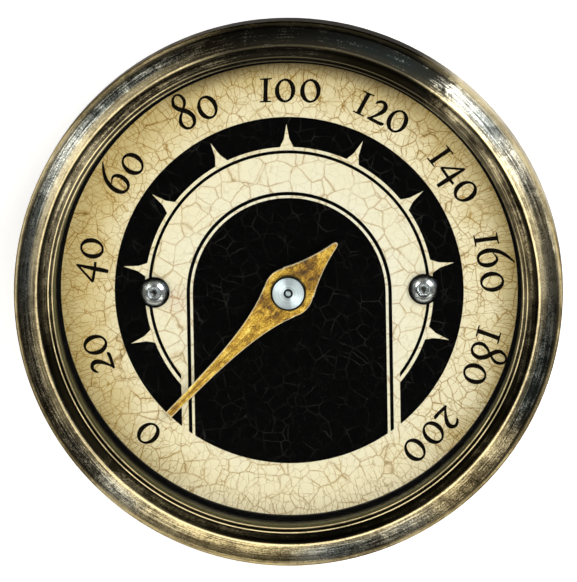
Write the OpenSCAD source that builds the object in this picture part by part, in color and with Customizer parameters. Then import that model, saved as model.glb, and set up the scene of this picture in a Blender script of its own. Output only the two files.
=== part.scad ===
// Round motorcycle speed gauge with a stepper-driven pointer over a printed dial and a
// display behind the dark arch. It lies on its flat back, and +Z is the way the dial faces.
// All sizes are in millimetres. +Y is the top of the dial.

/* [Bezel and housing] */
// Diameter over the bezel
bezel_d = 80; // [76:0.5:90]
// Height from the flat back to the bezel's ridge
gauge_h = 36; // [34:0.5:50]
// Width of the bezel's crowned band, from its edge to the ridge
band_w = 3.3; // [2.9:0.1:3.6]
// Width of the hollow band between the ridge and the lip that frames the dial
cove_w = 2.45; // [2.3:0.05:2.7]
// Thickness of the lip over the lens
lip_t = 0.8; // [0.6:0.1:1.2]
// How far the lip lies below the ridge
lip_drop = 0.6; // [0.4:0.05:0.9]
// Radius of the bezel's rounded shoulder
shoulder_r = 1.5; // [1:0.1:2]
// Radius of the bezel's crowned top face
crown_r = 9; // [8:0.5:12]
// Height of the bezel ring
bezel_h = 8.4; // [7.6:0.1:10]
// How far the bezel stands out from the housing's cup
bezel_step = 1.5; // [1.2:0.1:1.8]
// How far the housing's rear barrel steps in from its cup
barrel_step = 2; // [1.8:0.1:2.4]
// Height of the housing's cup behind the bezel, with the step's slope
cup_drop = 5; // [4.5:0.5:7]
// Thickness of the housing wall
wall = 2.8; // [2.4:0.1:3.2]
// Width of the shoulder where the bezel sits on the housing
shoulder_w = 1.1; // [0.9:0.1:1.3]
// Radius on the housing's rear edge
rear_edge_r = 1.5; // [0.5:0.1:1.8]

/* [Lens and dial] */
// Thickness of the lens
lens_t = 1.2; // [1:0.1:1.5]
// Thickness of the flat seal under the lens
lens_seal_t = 0.4; // [0.3:0.05:0.6]
// Depth of the dial face below the bezel's ridge
dial_depth = 6.8; // [6.6:0.1:8]
// Width of the rim between the printed dial face and the cup's bore
dial_margin = 2.3; // [2.1:0.1:3.5]
// Thickness of the printed dial face
dial_t = 0.3; // [0.2:0.05:0.5]
// Thickness of the black plate that carries the dial face
plate_t = 1.5; // [1.2:0.1:2]
// Thickness of the print on the dial face
print_t = 0.05; // [0.04:0.01:0.1]
// Height of the gap between the plate and the main board
standoff_h = 5.8; // [5.6:0.1:7]

/* [Dial print] */
// Outer diameter of the dark ring and of the dark field's foot
ring_d = 51; // [48:0.1:53]
// Width of the dark ring
ring_w = 4.4; // [3:0.1:5]
// Gap between the dark ring and the fine circle inside it
ring_gap = 0.5; // [0.3:0.05:0.8]
// Width of the fine circle
circle_w = 0.45; // [0.3:0.05:0.7]
// Half the width between the ring's two cut ends
ring_end_x = 16; // [15.6:0.1:17]
// Half the width of the dark arch
arch_x = 14.1; // [13:0.1:14.4]
// Gap between the dark arch and the line round it
arch_gap = 0.4; // [0.3:0.05:0.6]
// Width of the line round the arch
arch_line_w = 0.5; // [0.3:0.05:0.6]
// How far the arch's centre lies below the dial's centre
arch_drop = 0.5; // [0:0.1:2]
// Width of a pale spike at its foot
spike_w = 1.97; // [1:0.05:3]
// Length of a pale spike
spike_l = 3.4; // [2:0.1:3.8]
// Angle between two spikes
spike_step = 27; // [20:0.5:30]
// Number of spikes
spike_n = 9; // [3:2:11]

/* [Pointer] */
// Length of the pointer from its axis to its tip
pointer_l = 25.2; // [22:0.1:28]
// Length of the tail from the axis
tail_l = 10.15; // [9:0.05:12]
// Width of the pointer round its axis
pointer_w = 7.24; // [6.5:0.02:8]
// Width of the pointer's tip
tip_w = 1; // [0.6:0.05:1.4]
// Thickness of the pointer
pointer_t = 0.7; // [0.5:0.05:0.8]
// Height of the pointer's underside over the dial face
pointer_z = 1.9; // [1.9:0.05:2]
// Diameter of the turned cap on the pointer
cap_d = 5.1; // [4.5:0.05:5.6]
// Height of the cap over the pointer
cap_h = 1.1; // [0.9:0.05:1.2]
// Diameter of the shaft that carries the pointer
shaft_d = 1.5; // [1.2:0.1:1.6]

/* [Screws] */
// Thread diameter of the small screws
screw_d = 2.5; // [2:0.1:2.6]
// Head diameter of the small screws
screw_head_d = 4.5; // [4.2:0.1:4.8]
// Head height of the small screws
screw_head_h = 1.5; // [1.2:0.1:1.5]
// Width across the flats of the hexagon socket
screw_hex = 1.5; // [1.3:0.1:2]
// Distance of the two dial screws from the dial's centre
dial_screw_x = 19.7; // [18.5:0.1:20.5]

/* [Gear train] */
// Number of teeth on each pinion
pinion_teeth = 8; // [8:1:10]
// Number of teeth on the output wheel
output_teeth = 72; // [66:1:74]
// Number of teeth on the idler wheel
idler_teeth = 60; // [56:1:62]
// Tooth module of the output wheel and the idler's pinion
output_module = 0.25; // [0.24:0.005:0.255]
// Tooth module of the idler wheel and the rotor's pinion
idler_module = 0.2; // [0.19:0.005:0.205]
// Thickness of the output wheel
output_t = 1; // [0.8:0.1:1.2]
// Thickness of the idler wheel
idler_t = 0.8; // [0.6:0.1:1]
// Diameter of the rotor's magnet
magnet_d = 5.2; // [4.6:0.1:5.4]
// Radial air gap round the magnet
air_gap = 0.4; // [0.3:0.05:0.5]
// Height of a coil winding
coil_h = 4; // [3.6:0.1:4.4]
// Width of a coil winding
coil_w = 5.4; // [5:0.1:5.6]
// Length of a coil winding
coil_l = 7.4; // [6.8:0.1:7.8]
// Thickness of the stator plate
stator_t = 1; // [0.8:0.1:1.2]
// Wall thickness of the motor's case
case_t = 0.8; // [0.7:0.05:1]

/* [Main board and display] */
// Width of the gap between the main board's edge and the barrel's bore
board_margin = 2.5; // [2.4:0.1:2.9]
// Thickness of the main board
board_t = 1.6; // [1.2:0.1:2]
// Width of the display glass
display_w = 26.4; // [24:0.1:27]
// Height of the display glass on the dial
display_h = 14; // [12:0.1:15]
// Thickness of the display glass
display_t = 1.2; // [1:0.1:1.4]
// Distance of the display's upper edge below the dial's centre
display_drop = 4.4; // [4:0.1:5]

/* [Rear cover and connector] */
// Thickness of the rear cover
cover_t = 2.6; // [2.2:0.1:3]
// Height of the cover's sealing rim
rim_h = 2.4; // [2.2:0.1:3]
// Distance between the two threaded mounting holes
mount_spacing = 40; // [38:0.5:44]
// Diameter of a mounting hole at its wall
mount_hole_d = 4.2; // [3.2:0.1:5.2]
// Depth of a mounting hole
mount_depth = 8; // [6:0.5:8.5]
// Distance from the connector's axis to the barrel's bore
connector_margin = 13.7; // [13.2:0.1:14]
// Diameter of the connector's body
connector_d = 14; // [12:0.1:14.5]
// Length of the connector's body
connector_l = 10; // [9:0.1:12]
// Number of contact pins
contact_n = 8; // [5:1:8]

/* [Hidden] */
$fn = 96;
eps = 0.01;

// Clearances
run_gap = 0.03;
press_gap = 0.01;
slide_gap = 0.1;
thread_gap = 0.03;
hole_gap = 0.1;

// Heights of the stack, from the bezel's ridge down to the motor
lip_z = gauge_h - lip_drop;
lens_top = lip_z - lip_t;
lens_z = lens_top - lens_t;
ring_top = lens_z - lens_seal_t;
dial_top = gauge_h - dial_depth;
plate_top = dial_top - dial_t;
ledge_top = plate_top - plate_t;
board_top = ledge_top - standoff_h;
board_z = board_top - board_t;
bezel_z = gauge_h - bezel_h;
cup_z = bezel_z - cup_drop;

// Radii, from the bezel's edge inwards
outer_r = bezel_d / 2;
ridge_r = outer_r - band_w;
lip_r = ridge_r - cove_w;
body_r = outer_r - bezel_step;
cup_bore_r = body_r - wall;
barrel_r = body_r - barrel_step;
bore_r = barrel_r - wall;
spigot_r = body_r - shoulder_w;
dial_r = cup_bore_r - dial_margin;
board_r = bore_r - board_margin;
cover_seat_w = 1.2;
cover_r = bore_r + cover_seat_w;
lens_r = spigot_r - 0.7;
seal_w = 1.8;

// Bosses inside the housing, which carry the board and take the cover's screws
lug_n = 4;
lug_r = 3;
lug_pitch_r = board_r - screw_head_d / 2 - 0.35;
lug_z = cover_t + rim_h;
lug_hole = 6;

// Screws
screw_r = screw_d / 2;
screw_head_r = screw_head_d / 2;
screw_l = 5;
socket_chamfer = 0.6;
sink_h = screw_head_r - screw_r;

// Gear train: heights from the case floor up, and axes seen from the front
pressure_angle = 25;
tooth_shift = 0.35;
tooth_height = 0.8;
backlash = 0.035;
layer_gap = 0.3;
arbor_r = 0.4;
shaft_r = shaft_d / 2;
roof_t = case_t + 0.2;
end_play = 0.1;
shaft_collar_h = 0.5;
motor_h = case_t + end_play + coil_h + idler_t + output_t + shaft_collar_h + roof_t
    + 2 * layer_gap + 2 * end_play;
motor_z = board_z - motor_h;
floor_top = motor_z + case_t;
coil_mid = floor_top + end_play + coil_h / 2;
coil_top = coil_mid + coil_h / 2;
idler_z = coil_top + layer_gap + end_play;
output_z = idler_z + idler_t + layer_gap;
roof_under = board_z - roof_t;
split_z = coil_mid + 1.1;
idler_angle = 30;
idler_dist = output_module * (output_teeth + pinion_teeth) / 2;
rotor_dist = idler_module * (idler_teeth + pinion_teeth) / 2;
idler_pos = [idler_dist * sin(idler_angle), -idler_dist * cos(idler_angle)];
rotor_pos = [0, idler_pos.y - sqrt(rotor_dist ^ 2 - idler_pos.x ^ 2)];
output_tip_r = gear_tip_r(output_teeth, output_module, -tooth_shift);
idler_tip_r = gear_tip_r(idler_teeth, idler_module, -tooth_shift);
magnet_r = magnet_d / 2;
magnet_h = coil_h - 0.8;
magnet_z = coil_mid - magnet_h / 2;

// Stator and coils
stator_bore_r = magnet_r + air_gap;
pole_r = stator_bore_r + 1.4;
leg_w = 2.4;
bar_w = 1.6;
bobbin_wall = 0.4;
flange_t = 0.6;
coil_gap = 2.2;
post_r = arbor_r + 0.8;
coil_x = max(pole_r + coil_gap, idler_pos.x + post_r + layer_gap) + coil_w / 2;
coil_y = rotor_pos.y + 1;
bobbin_l = coil_l + 2 * flange_t;
yoke_y = max(coil_y + bobbin_l / 2 + 0.15, idler_pos.y + post_r + layer_gap) + bar_w / 2;
foot_y = coil_y - bobbin_l / 2 - 0.15 - bar_w / 2;
pin_r = 0.3;
pin_y = foot_y - bar_w / 2 - pin_r - 0.25;
pin_x = [coil_x - 1.5, coil_x + 1.5];

// Motor case
wheel_case_r = output_tip_r + case_t + 0.6;
coil_case_x = coil_x + coil_w / 2 + case_t + 0.7;
coil_case_y = [pin_y - pin_r - case_t - 0.4, idler_pos.y + idler_tip_r + case_t + 0.4];
case_corner_r = 2;
peg_r = 1;
peg_x = coil_case_x - peg_r - 1.4;
peg_y = coil_case_y.y - peg_r - 0.9;

// Pointer, from its tip at 45 degrees below the left side
pointer_under = dial_top + pointer_z;
pointer_top = pointer_under + pointer_t;
rest_angle = 225;
hub_r = 1.9;
hub_sink = 0.25;
cap_r = cap_d / 2;
tail_end_r = 0.3;

// Display behind the arch
display_y = -display_drop - display_h / 2;
display_top = ledge_top - 0.3;
display_z = display_top - display_t;
frame_wall = 1.2;
frame_w = display_w + 2 * frame_wall + 0.3;
frame_h = display_h + 2 * frame_wall + 0.3;
strip_w = 1.6;
strip_gap = 0.7;
led_room = 2.6;
guide_w = display_w - 2 * led_room;
guide_h = display_h - 2 * (strip_w + strip_gap);
guide_t = 2.2;
guide_z = board_top + 0.8;
led_size = [1.4, 2.8, 1];
led_x = guide_w / 2 + led_size.x / 2 + 0.2;

// Pieces on the board
standoff_wall = 1.6;
processor_pos = [0.42 * board_r, 0.36 * board_r];
processor_w = 7;
lead_l = 0.8;
crystal_size = [5, 3.2];
crystal_gap = 2.6;
crystal_pos = processor_pos + [0, (processor_w + crystal_size.y) / 2 + lead_l + crystal_gap];
regulator_pos = [-0.42 * board_r, 0.42 * board_r];
regulator_size = [6.5, 6];
resistor_size = [1.6, 0.9];
resistor_inset = 6.2;
resistor_bearing = 205;
resistor_step = 6;
capacitor_r = 4;
capacitor_pos = [-0.35 * board_r, 0.545 * board_r];

// Cover and connector
boss_wall = 2.4;
boss_roof = 2;
boss_r = mount_hole_d / 2 + boss_wall;
boss_top = mount_depth + boss_roof;
seal_h = 1.6;
seal_depth = 1.3;
rim_w = 2.7;
rim_r = bore_r - slide_gap;
connector_r = connector_d / 2;
connector_y = bore_r - connector_margin;
connector_flange_w = 2;
connector_flange_t = 1.2;
connector_sink = 0.2;
flange_r = connector_r + connector_flange_w;
socket_wall = 1.6;
socket_floor_t = 2.2;
socket_r = connector_r - socket_wall;
socket_depth = connector_l - socket_floor_t;
contact_r = 0.5;
contact_inset = 1.8;
contact_pitch_r = socket_r - contact_inset;
contact_tip_z = 2.5;
contact_stand = 1;
nut_h = 2.4;
nut_wall = 2.6;
nut_r = connector_r + nut_wall;

function involute(angle) = tan(angle) * 180 / PI - angle;
function gear_tip_r(teeth, module_mm, shift) = module_mm * (teeth / 2 + tooth_height + shift);
function gear_root_r(teeth, module_mm, shift) = module_mm * (teeth / 2 - 1.25 + shift);
function polar(radius, angle) = [radius * cos(angle), radius * sin(angle)];

// Half the angle that a tooth takes up at a radius, in degrees
function tooth_half_angle(teeth, module_mm, shift, radius) =
    let (pitch_r = module_mm * teeth / 2)
    let (base_r = pitch_r * cos(pressure_angle))
    let (half_width = module_mm * (PI / 4 + shift * tan(pressure_angle)) - backlash / 2)
    half_width / pitch_r * 180 / PI + involute(pressure_angle)
        - involute(acos(min(1, base_r / radius)));

// One side of a tooth: from the root, along the involute, to the tip
function tooth_radii(teeth, module_mm, shift, steps) =
    let (root_r = gear_root_r(teeth, module_mm, shift))
    let (tip_r = gear_tip_r(teeth, module_mm, shift))
    let (base_r = module_mm * teeth / 2 * cos(pressure_angle))
    let (start_r = max(root_r, base_r))
    concat(root_r < base_r ? [root_r] : [],
        [for (i = [0 : steps]) start_r + (tip_r - start_r) * i / steps]);

// Outline of a gear whose first tooth points along +X
function gear_outline(teeth, module_mm, shift, steps) =
    let (radii = tooth_radii(teeth, module_mm, shift, steps))
    let (last = len(radii) - 1)
    [for (i = [0 : teeth - 1], k = [0 : 2 * last + 1])
        let (rising = k <= last)
        let (radius = radii[rising ? k : 2 * last + 1 - k])
        let (half = tooth_half_angle(teeth, module_mm, shift, radius))
        polar(radius, 360 * i / teeth + (rising ? -half : half))];

// Half width of the pointer at a distance from its axis, along the tip and along the tail
function tip_half_w(x) = tip_w / 2 - 0.04 + (pointer_w / 2) * exp(-x / (pointer_l / 4));
function tail_half_w(x) =
    let (fall = 1.56 * pointer_w / 2 * exp(-x / (0.74 * tail_l)))
    let (end = 1.56 * pointer_w / 2 * exp(-1 / 0.74))
    fall - end + tail_end_r;

module ring(outer_r, inner_r, height) {
    linear_extrude(height)
        difference() {
            circle(outer_r);
            circle(inner_r);
        }
}

module rounded_rect(size_x, size_y, corner_r) {
    square([size_x - 2 * corner_r, size_y], center = true);
    square([size_x, size_y - 2 * corner_r], center = true);
    for (x = [-1, 1], y = [-1, 1])
        translate([x * (size_x / 2 - corner_r), y * (size_y / 2 - corner_r)])
            circle(corner_r);
}

module at_lugs() {
    for (i = [0 : lug_n - 1])
        rotate(45 + 360 * i / lug_n)
            translate([lug_pitch_r, 0])
                children();
}

module at_dial_screws() {
    for (side = [-1, 1])
        translate([side * dial_screw_x, 0])
            children();
}

// Button-head screw whose thread points down from the origin
module button_screw(length) {
    socket_floor = screw_head_h * 0.4;
    drill_point = 0.4;
    difference() {
        union() {
            rotate_extrude()
                intersection() {
                    square([screw_head_r, screw_head_h]);
                    translate([0, screw_head_h - 1.3 * screw_head_d / 2 - 0.35])
                        circle(1.3 * screw_head_d / 2 + 0.35);
                }
            translate([0, 0, -length])
                cylinder(r = screw_r - thread_gap, h = length + eps);
        }
        translate([0, 0, socket_floor])
            cylinder(d = screw_hex / cos(30), h = screw_head_h, $fn = 6);
        translate([0, 0, screw_head_h + 0.1 - socket_chamfer])
            cylinder(r1 = screw_hex / 2, r2 = screw_hex / 2 + socket_chamfer, h = socket_chamfer);
        translate([0, 0, socket_floor - drill_point])
            cylinder(r1 = 0.05, r2 = screw_hex / 2 - 0.05, h = drill_point + eps);
    }
}

module housing() {
    color("#3b3a36")
    difference() {
        union() {
            rotate_extrude()
                housing_profile();
            housing_lugs();
        }
        at_lugs() {
            translate([0, 0, lug_z - eps])
                cylinder(r = screw_r, h = lug_hole);
            translate([0, 0, board_z - lug_hole])
                cylinder(r = screw_r, h = lug_hole + eps);
        }
    }
}

// Barrel with its rear seat for the cover, cup whose floor carries the dial plate, and spigot
module housing_profile() {
    difference() {
        union() {
            polygon([[bore_r - 1, rear_edge_r], [barrel_r, rear_edge_r],
                [barrel_r, cup_z], [body_r, cup_z + barrel_step], [body_r, bezel_z],
                [spigot_r, bezel_z], [spigot_r, ring_top], [bore_r - 1, ring_top]]);
            translate([bore_r - 1, 0])
                square([barrel_r - rear_edge_r - bore_r + 1, rear_edge_r + 1]);
            translate([barrel_r - rear_edge_r, rear_edge_r])
                circle(rear_edge_r);
        }
        translate([0, -eps])
            square([cover_r + slide_gap, cover_t + eps]);
        translate([0, -eps])
            square([bore_r, gauge_h]);
        translate([0, ledge_top])
            square([cup_bore_r, gauge_h]);
    }
}

module housing_lugs() {
    translate([0, 0, lug_z])
        linear_extrude(board_z - lug_z)
            intersection() {
                circle(bore_r + wall / 2);
                at_lugs() {
                    circle(lug_r);
                    translate([0, -lug_r])
                        square([bore_r + wall - lug_pitch_r, 2 * lug_r]);
                }
            }
}

module bezel() {
    color("#8a7a52")
    rotate_extrude()
        bezel_profile();
}

// Crowned top, rounded shoulder, hollow band that falls from the ridge to the stepped lip
module bezel_profile() {
    crown_angle = 25;
    shoulder_x = outer_r - shoulder_r;
    crown_x = shoulder_x - (crown_r - shoulder_r) * sin(crown_angle);
    crown_z = gauge_h - sqrt(crown_r ^ 2 - (ridge_r - crown_x) ^ 2);
    shoulder_z = crown_z + (crown_r - shoulder_r) * cos(crown_angle);
    blend_x = shoulder_x + shoulder_r * sin(crown_angle);
    cove_r = 2.6;
    crest_w = 0.15;
    step_w = 0.2;
    step_h = 0.25;
    cove_foot = [lip_r + step_w + 0.35, lip_z];
    cove_top = [ridge_r - crest_w, gauge_h];
    chord = cove_top - cove_foot;
    cove_rise = sqrt(cove_r ^ 2 - norm(chord) ^ 2 / 4);
    cove_centre = (cove_foot + cove_top) / 2 + cove_rise * [-chord.y, chord.x] / norm(chord);
    foot_w = 1;
    foot_h = 1.5;
    difference() {
        union() {
            intersection() {
                translate([crown_x, crown_z])
                    circle(crown_r, $fn = 192);
                translate([lip_r, lens_top])
                    square([blend_x - lip_r, gauge_h - lens_top + 1]);
            }
            translate([shoulder_x, shoulder_z])
                circle(shoulder_r);
            translate([ridge_r, bezel_z + foot_h])
                square([outer_r - ridge_r, shoulder_z - bezel_z - foot_h]);
            polygon([[spigot_r, bezel_z], [outer_r - foot_w, bezel_z],
                [outer_r, bezel_z + foot_h], [spigot_r, bezel_z + foot_h]]);
            translate([spigot_r, bezel_z])
                square([shoulder_x - spigot_r, shoulder_z - bezel_z]);
            translate([lip_r, ring_top])
                square([shoulder_x - lip_r, lens_top + 0.6 - ring_top]);
        }
        polygon([[lip_r - 1, lip_z], cove_foot, cove_top, [ridge_r, gauge_h],
            [ridge_r, gauge_h + 1], [lip_r - 1, gauge_h + 1]]);
        translate(cove_centre)
            circle(cove_r);
        translate([lip_r - 1, lip_z - step_h])
            square([1 + step_w, step_h + 1]);
        translate([0, bezel_z - 1])
            square([spigot_r + 0.05, ring_top + slide_gap - bezel_z + 1]);
        translate([0, ring_top])
            square([lens_r + slide_gap, lens_top - ring_top]);
    }
}

module lens() {
    color("#dfe8ea", 0.25)
    translate([0, 0, lens_z])
        cylinder(r = lens_r, h = lens_t);
}

module lens_seal() {
    color("#1c1c1c")
    translate([0, 0, ring_top])
        ring(lens_r, lens_r - seal_w, lens_seal_t);
}

module spacer_ring() {
    color("#6f6748")
    translate([0, 0, plate_top])
        rotate_extrude()
            polygon([[dial_r + 0.55, 0], [cup_bore_r - slide_gap, 0],
                [cup_bore_r - slide_gap, ring_top - plate_top],
                [lip_r - 0.15, ring_top - plate_top]]);
}

module dial_face() {
    color("#d9c99a")
    translate([0, 0, plate_top])
        linear_extrude(dial_t)
            difference() {
                circle(dial_r);
                circle(shaft_r + 1.4);
                at_dial_screws()
                    circle(screw_r + hole_gap);
            }
}

module dial_print() {
    color("#15130f")
    translate([0, 0, dial_top])
        linear_extrude(print_t)
            difference() {
                union() {
                    scale_ring();
                    fine_circle();
                    arch_field(arch_x);
                    arch_outline();
                }
                circle(shaft_r + 1.5);
                at_dial_screws()
                    circle(screw_r + hole_gap);
            }
}

// The ring and the fine circle stop beside the arch, below the dial's centre
module ring_foot() {
    translate([-ring_end_x, -ring_d])
        square([2 * ring_end_x, ring_d]);
}

module scale_ring() {
    inner_r = ring_d / 2 - ring_w;
    difference() {
        circle(ring_d / 2);
        circle(inner_r);
        ring_foot();
        for (i = [0 : spike_n - 1])
            rotate(90 + (i - (spike_n - 1) / 2) * spike_step)
                translate([inner_r, 0])
                    spike();
    }
}

// A spike with hollow sides: it has lost most of its width by the middle
module spike() {
    polygon([[-0.3, -spike_w / 2], [0, -spike_w / 2], [spike_l * 0.35, -spike_w * 0.2],
        [spike_l, 0], [spike_l * 0.35, spike_w * 0.2], [0, spike_w / 2], [-0.3, spike_w / 2]]);
}

module fine_circle() {
    outer_r = ring_d / 2 - ring_w - ring_gap;
    difference() {
        circle(outer_r);
        circle(outer_r - circle_w);
        ring_foot();
    }
}

module arch_field(half_w) {
    intersection() {
        circle(ring_d / 2);
        union() {
            translate([0, -arch_drop])
                circle(half_w);
            translate([-half_w, -ring_d])
                square([2 * half_w, ring_d - arch_drop]);
        }
    }
}

module arch_outline() {
    difference() {
        arch_field(arch_x + arch_gap + arch_line_w);
        union() {
            translate([0, -arch_drop])
                circle(arch_x + arch_gap);
            translate([-arch_x - arch_gap, -ring_d])
                square([2 * (arch_x + arch_gap), ring_d - arch_drop]);
        }
    }
}

module dial_plate() {
    color("#161616")
    translate([0, 0, ledge_top])
        linear_extrude(plate_t)
            difference() {
                circle(cup_bore_r - slide_gap);
                circle(hub_r + 0.7);
                at_dial_screws()
                    circle(screw_r + hole_gap);
                translate([0, display_y])
                    square([display_w - 1.6, display_h - 1.6], center = true);
            }
}

module dial_screws() {
    color("#c9cccf")
    at_dial_screws()
        translate([0, 0, dial_top + print_t])
            button_screw(screw_l);
}

// Hexagon spacers between the board and the plate
module standoffs() {
    color("#b8983f")
    at_dial_screws()
        translate([0, 0, board_top])
            difference() {
                cylinder(r = screw_r + standoff_wall, h = standoff_h, $fn = 6);
                translate([0, 0, -eps])
                    cylinder(r = screw_r, h = standoff_h + 2 * eps);
            }
}

module standoff_screws() {
    color("#c9cccf")
    at_dial_screws()
        translate([0, 0, board_z])
            mirror([0, 0, 1])
                button_screw(board_t + 1.6);
}

// Upper half of the pointer's outline, from the end of the tail to the tip
function pointer_half() =
    let (round_r = pointer_w / 2)
    let (tail_blend = 0.56 * round_r)
    let (tip_blend = 0.53 * round_r)
    let (end_x = tail_l - tail_end_r)
    let (first = acos(-tail_blend / round_r))
    let (last = acos(tip_blend / round_r))
    concat([for (angle = [180 : -30 : 120]) [-end_x, 0] + polar(tail_end_r, angle)],
        [for (i = [0 : 6]) let (x = end_x + (tail_blend - end_x) * i / 6) [-x, tail_half_w(x)]],
        [for (i = [0 : 8]) polar(round_r, first + (last - first) * i / 8)],
        [for (i = [0 : 14]) let (x = tip_blend + (pointer_l - tip_blend) * i / 14) [x, tip_half_w(x)]]);

module pointer() {
    half = pointer_half();
    color("#b98b2c")
    translate([0, 0, pointer_under])
        rotate(rest_angle)
            difference() {
                linear_extrude(pointer_t)
                    polygon(concat(half,
                        [for (i = [len(half) - 1 : -1 : 1]) [half[i].x, -half[i].y]]));
                translate([0, 0, -eps])
                    cylinder(r = shaft_r + press_gap, h = pointer_t + 2 * eps);
                translate([0, 0, pointer_t - hub_sink])
                    cylinder(r = cap_r + 0.15, h = hub_sink + eps);
            }
}

// Turned cap with a ringed pip in its middle
module pointer_cap() {
    cap_z = pointer_top - hub_sink;
    height = cap_h + hub_sink;
    edge = 0.25;
    pip_r = 0.42;
    groove_r = 0.65;
    groove_t = 0.35;
    color("#c3c7c9")
    translate([0, 0, cap_z])
        difference() {
            union() {
                cylinder(r = cap_r, h = height - edge);
                translate([0, 0, height - edge])
                    cylinder(r1 = cap_r, r2 = cap_r - edge, h = edge);
            }
            translate([0, 0, height - groove_t])
                ring(groove_r, pip_r, groove_t + eps);
            translate([0, 0, -eps])
                cylinder(r = shaft_r + press_gap, h = 0.5 * height);
        }
}

// Bush under the pointer, pressed on the shaft
module pointer_hub() {
    hub_h = pointer_z - 0.6;
    color("#3a3a3a")
    translate([0, 0, pointer_under - hub_h])
        ring(hub_r, shaft_r + press_gap, hub_h);
}

module output_shaft() {
    foot_z = floor_top + 0.7;
    top_z = pointer_top - hub_sink + 0.4 * (cap_h + hub_sink);
    collar_z = output_z + output_t;
    color("#c9cccf")
    union() {
        translate([0, 0, foot_z])
            cylinder(r = shaft_r, h = top_z - foot_z);
        translate([0, 0, collar_z])
            cylinder(r = shaft_r + 0.6, h = shaft_collar_h);
    }
}

// Wheel on the pointer's shaft: a tooth faces the idler's axis
module output_wheel() {
    hole_n = 6;
    color("#e9e6da")
    translate([0, 0, output_z])
        rotate(idler_angle - 90)
            linear_extrude(output_t)
                difference() {
                    polygon(gear_outline(output_teeth, output_module, -tooth_shift, 1));
                    circle(shaft_r + press_gap);
                    for (i = [0 : hole_n - 1])
                        rotate(360 * (i + 0.5) / hole_n)
                            translate([output_tip_r * 0.56, 0])
                                circle(output_tip_r * 0.2);
                }
}

// Angle of the line from the idler's axis to the rotor's axis
function rotor_bearing() = atan2(rotor_pos.y - idler_pos.y, rotor_pos.x - idler_pos.x);

module idler_wheel() {
    color("#e9e6da")
    translate([idler_pos.x, idler_pos.y, idler_z])
        rotate(rotor_bearing())
            linear_extrude(idler_t)
                difference() {
                    polygon(gear_outline(idler_teeth, idler_module, -tooth_shift, 1));
                    circle(arbor_r + press_gap);
                }
}

// Pinion on its arbor: a gap between two teeth faces the output wheel's axis
module idler_pinion() {
    teeth_h = roof_under - end_play - idler_z - idler_t;
    foot_z = floor_top + 1.2;
    color("#c2a24c")
    translate([idler_pos.x, idler_pos.y, 0]) {
        translate([0, 0, idler_z + idler_t])
            rotate(idler_angle + 90 + 180 / pinion_teeth)
                linear_extrude(teeth_h)
                    polygon(gear_outline(pinion_teeth, output_module, tooth_shift, 3));
        translate([0, 0, foot_z])
            cylinder(r = arbor_r, h = roof_under + 0.6 - foot_z);
    }
}

module rotor_magnet() {
    color("#55565a")
    translate([rotor_pos.x, rotor_pos.y, magnet_z])
        ring(magnet_r, arbor_r + press_gap, magnet_h);
}

// Pinion on the rotor's arbor: a gap between two teeth faces the idler's axis
module rotor_pinion() {
    teeth_z = magnet_z + magnet_h;
    foot_z = floor_top - 0.4;
    color("#c2a24c")
    translate([rotor_pos.x, rotor_pos.y, 0]) {
        translate([0, 0, teeth_z])
            rotate(rotor_bearing() + 180 + 180 / pinion_teeth)
                linear_extrude(idler_z + idler_t + end_play - teeth_z)
                    polygon(gear_outline(pinion_teeth, idler_module, tooth_shift, 3));
        translate([0, 0, foot_z])
            cylinder(r = arbor_r, h = roof_under + 0.6 - foot_z);
    }
}

module case_outline(inset) {
    middle_y = (coil_case_y.x + coil_case_y.y) / 2;
    circle(wheel_case_r - inset);
    translate([0, middle_y])
        rounded_rect(2 * (coil_case_x - inset), coil_case_y.y - coil_case_y.x - 2 * inset,
            case_corner_r - inset);
}

module at_motor_pins() {
    for (side = [-1, 1], x = pin_x)
        translate([side * x, pin_y])
            children();
}

module at_pegs() {
    for (side = [-1, 1])
        translate([side * peg_x, peg_y])
            children();
}

// Cap of the motor with the front bearings and two pegs that locate it in the board
module motor_front_case() {
    color("#24282b")
    difference() {
        union() {
            translate([0, 0, roof_under])
                linear_extrude(roof_t)
                    case_outline(0);
            translate([0, 0, split_z])
                linear_extrude(roof_under - split_z)
                    difference() {
                        case_outline(0);
                        case_outline(case_t);
                    }
            at_pegs()
                translate([0, 0, board_z - eps])
                    cylinder(r = peg_r, h = board_t);
        }
        translate([0, 0, roof_under - 1])
            cylinder(r = shaft_r + run_gap, h = roof_t + 2);
        for (axis = [idler_pos, rotor_pos])
            translate([axis.x, axis.y, roof_under - 1])
                cylinder(r = arbor_r + run_gap, h = 1.7);
        at_motor_pins()
            translate([0, 0, roof_under - 1])
                cylinder(r = pin_r + slide_gap, h = roof_t + 2);
    }
}

// Tray of the motor with the rear bearings on posts
module motor_rear_case() {
    post_gap = 0.1;
    color("#2f3438")
    difference() {
        union() {
            translate([0, 0, motor_z])
                linear_extrude(case_t)
                    case_outline(0);
            translate([0, 0, floor_top])
                linear_extrude(split_z - floor_top)
                    difference() {
                        case_outline(0);
                        case_outline(case_t);
                    }
            translate([0, 0, floor_top - eps])
                cylinder(r = shaft_r + 0.9, h = output_z - end_play - floor_top);
            translate([idler_pos.x, idler_pos.y, floor_top - eps])
                cylinder(r = post_r, h = idler_z - post_gap - floor_top);
            translate([rotor_pos.x, rotor_pos.y, floor_top - eps])
                cylinder(r = post_r, h = magnet_z - post_gap - floor_top);
        }
        translate([0, 0, floor_top + 0.6])
            cylinder(r = shaft_r + run_gap, h = motor_h);
        translate([idler_pos.x, idler_pos.y, floor_top + 1.1])
            cylinder(r = arbor_r + run_gap, h = motor_h);
        translate([rotor_pos.x, rotor_pos.y, floor_top - 0.5])
            cylinder(r = arbor_r + run_gap, h = motor_h);
    }
}

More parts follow.
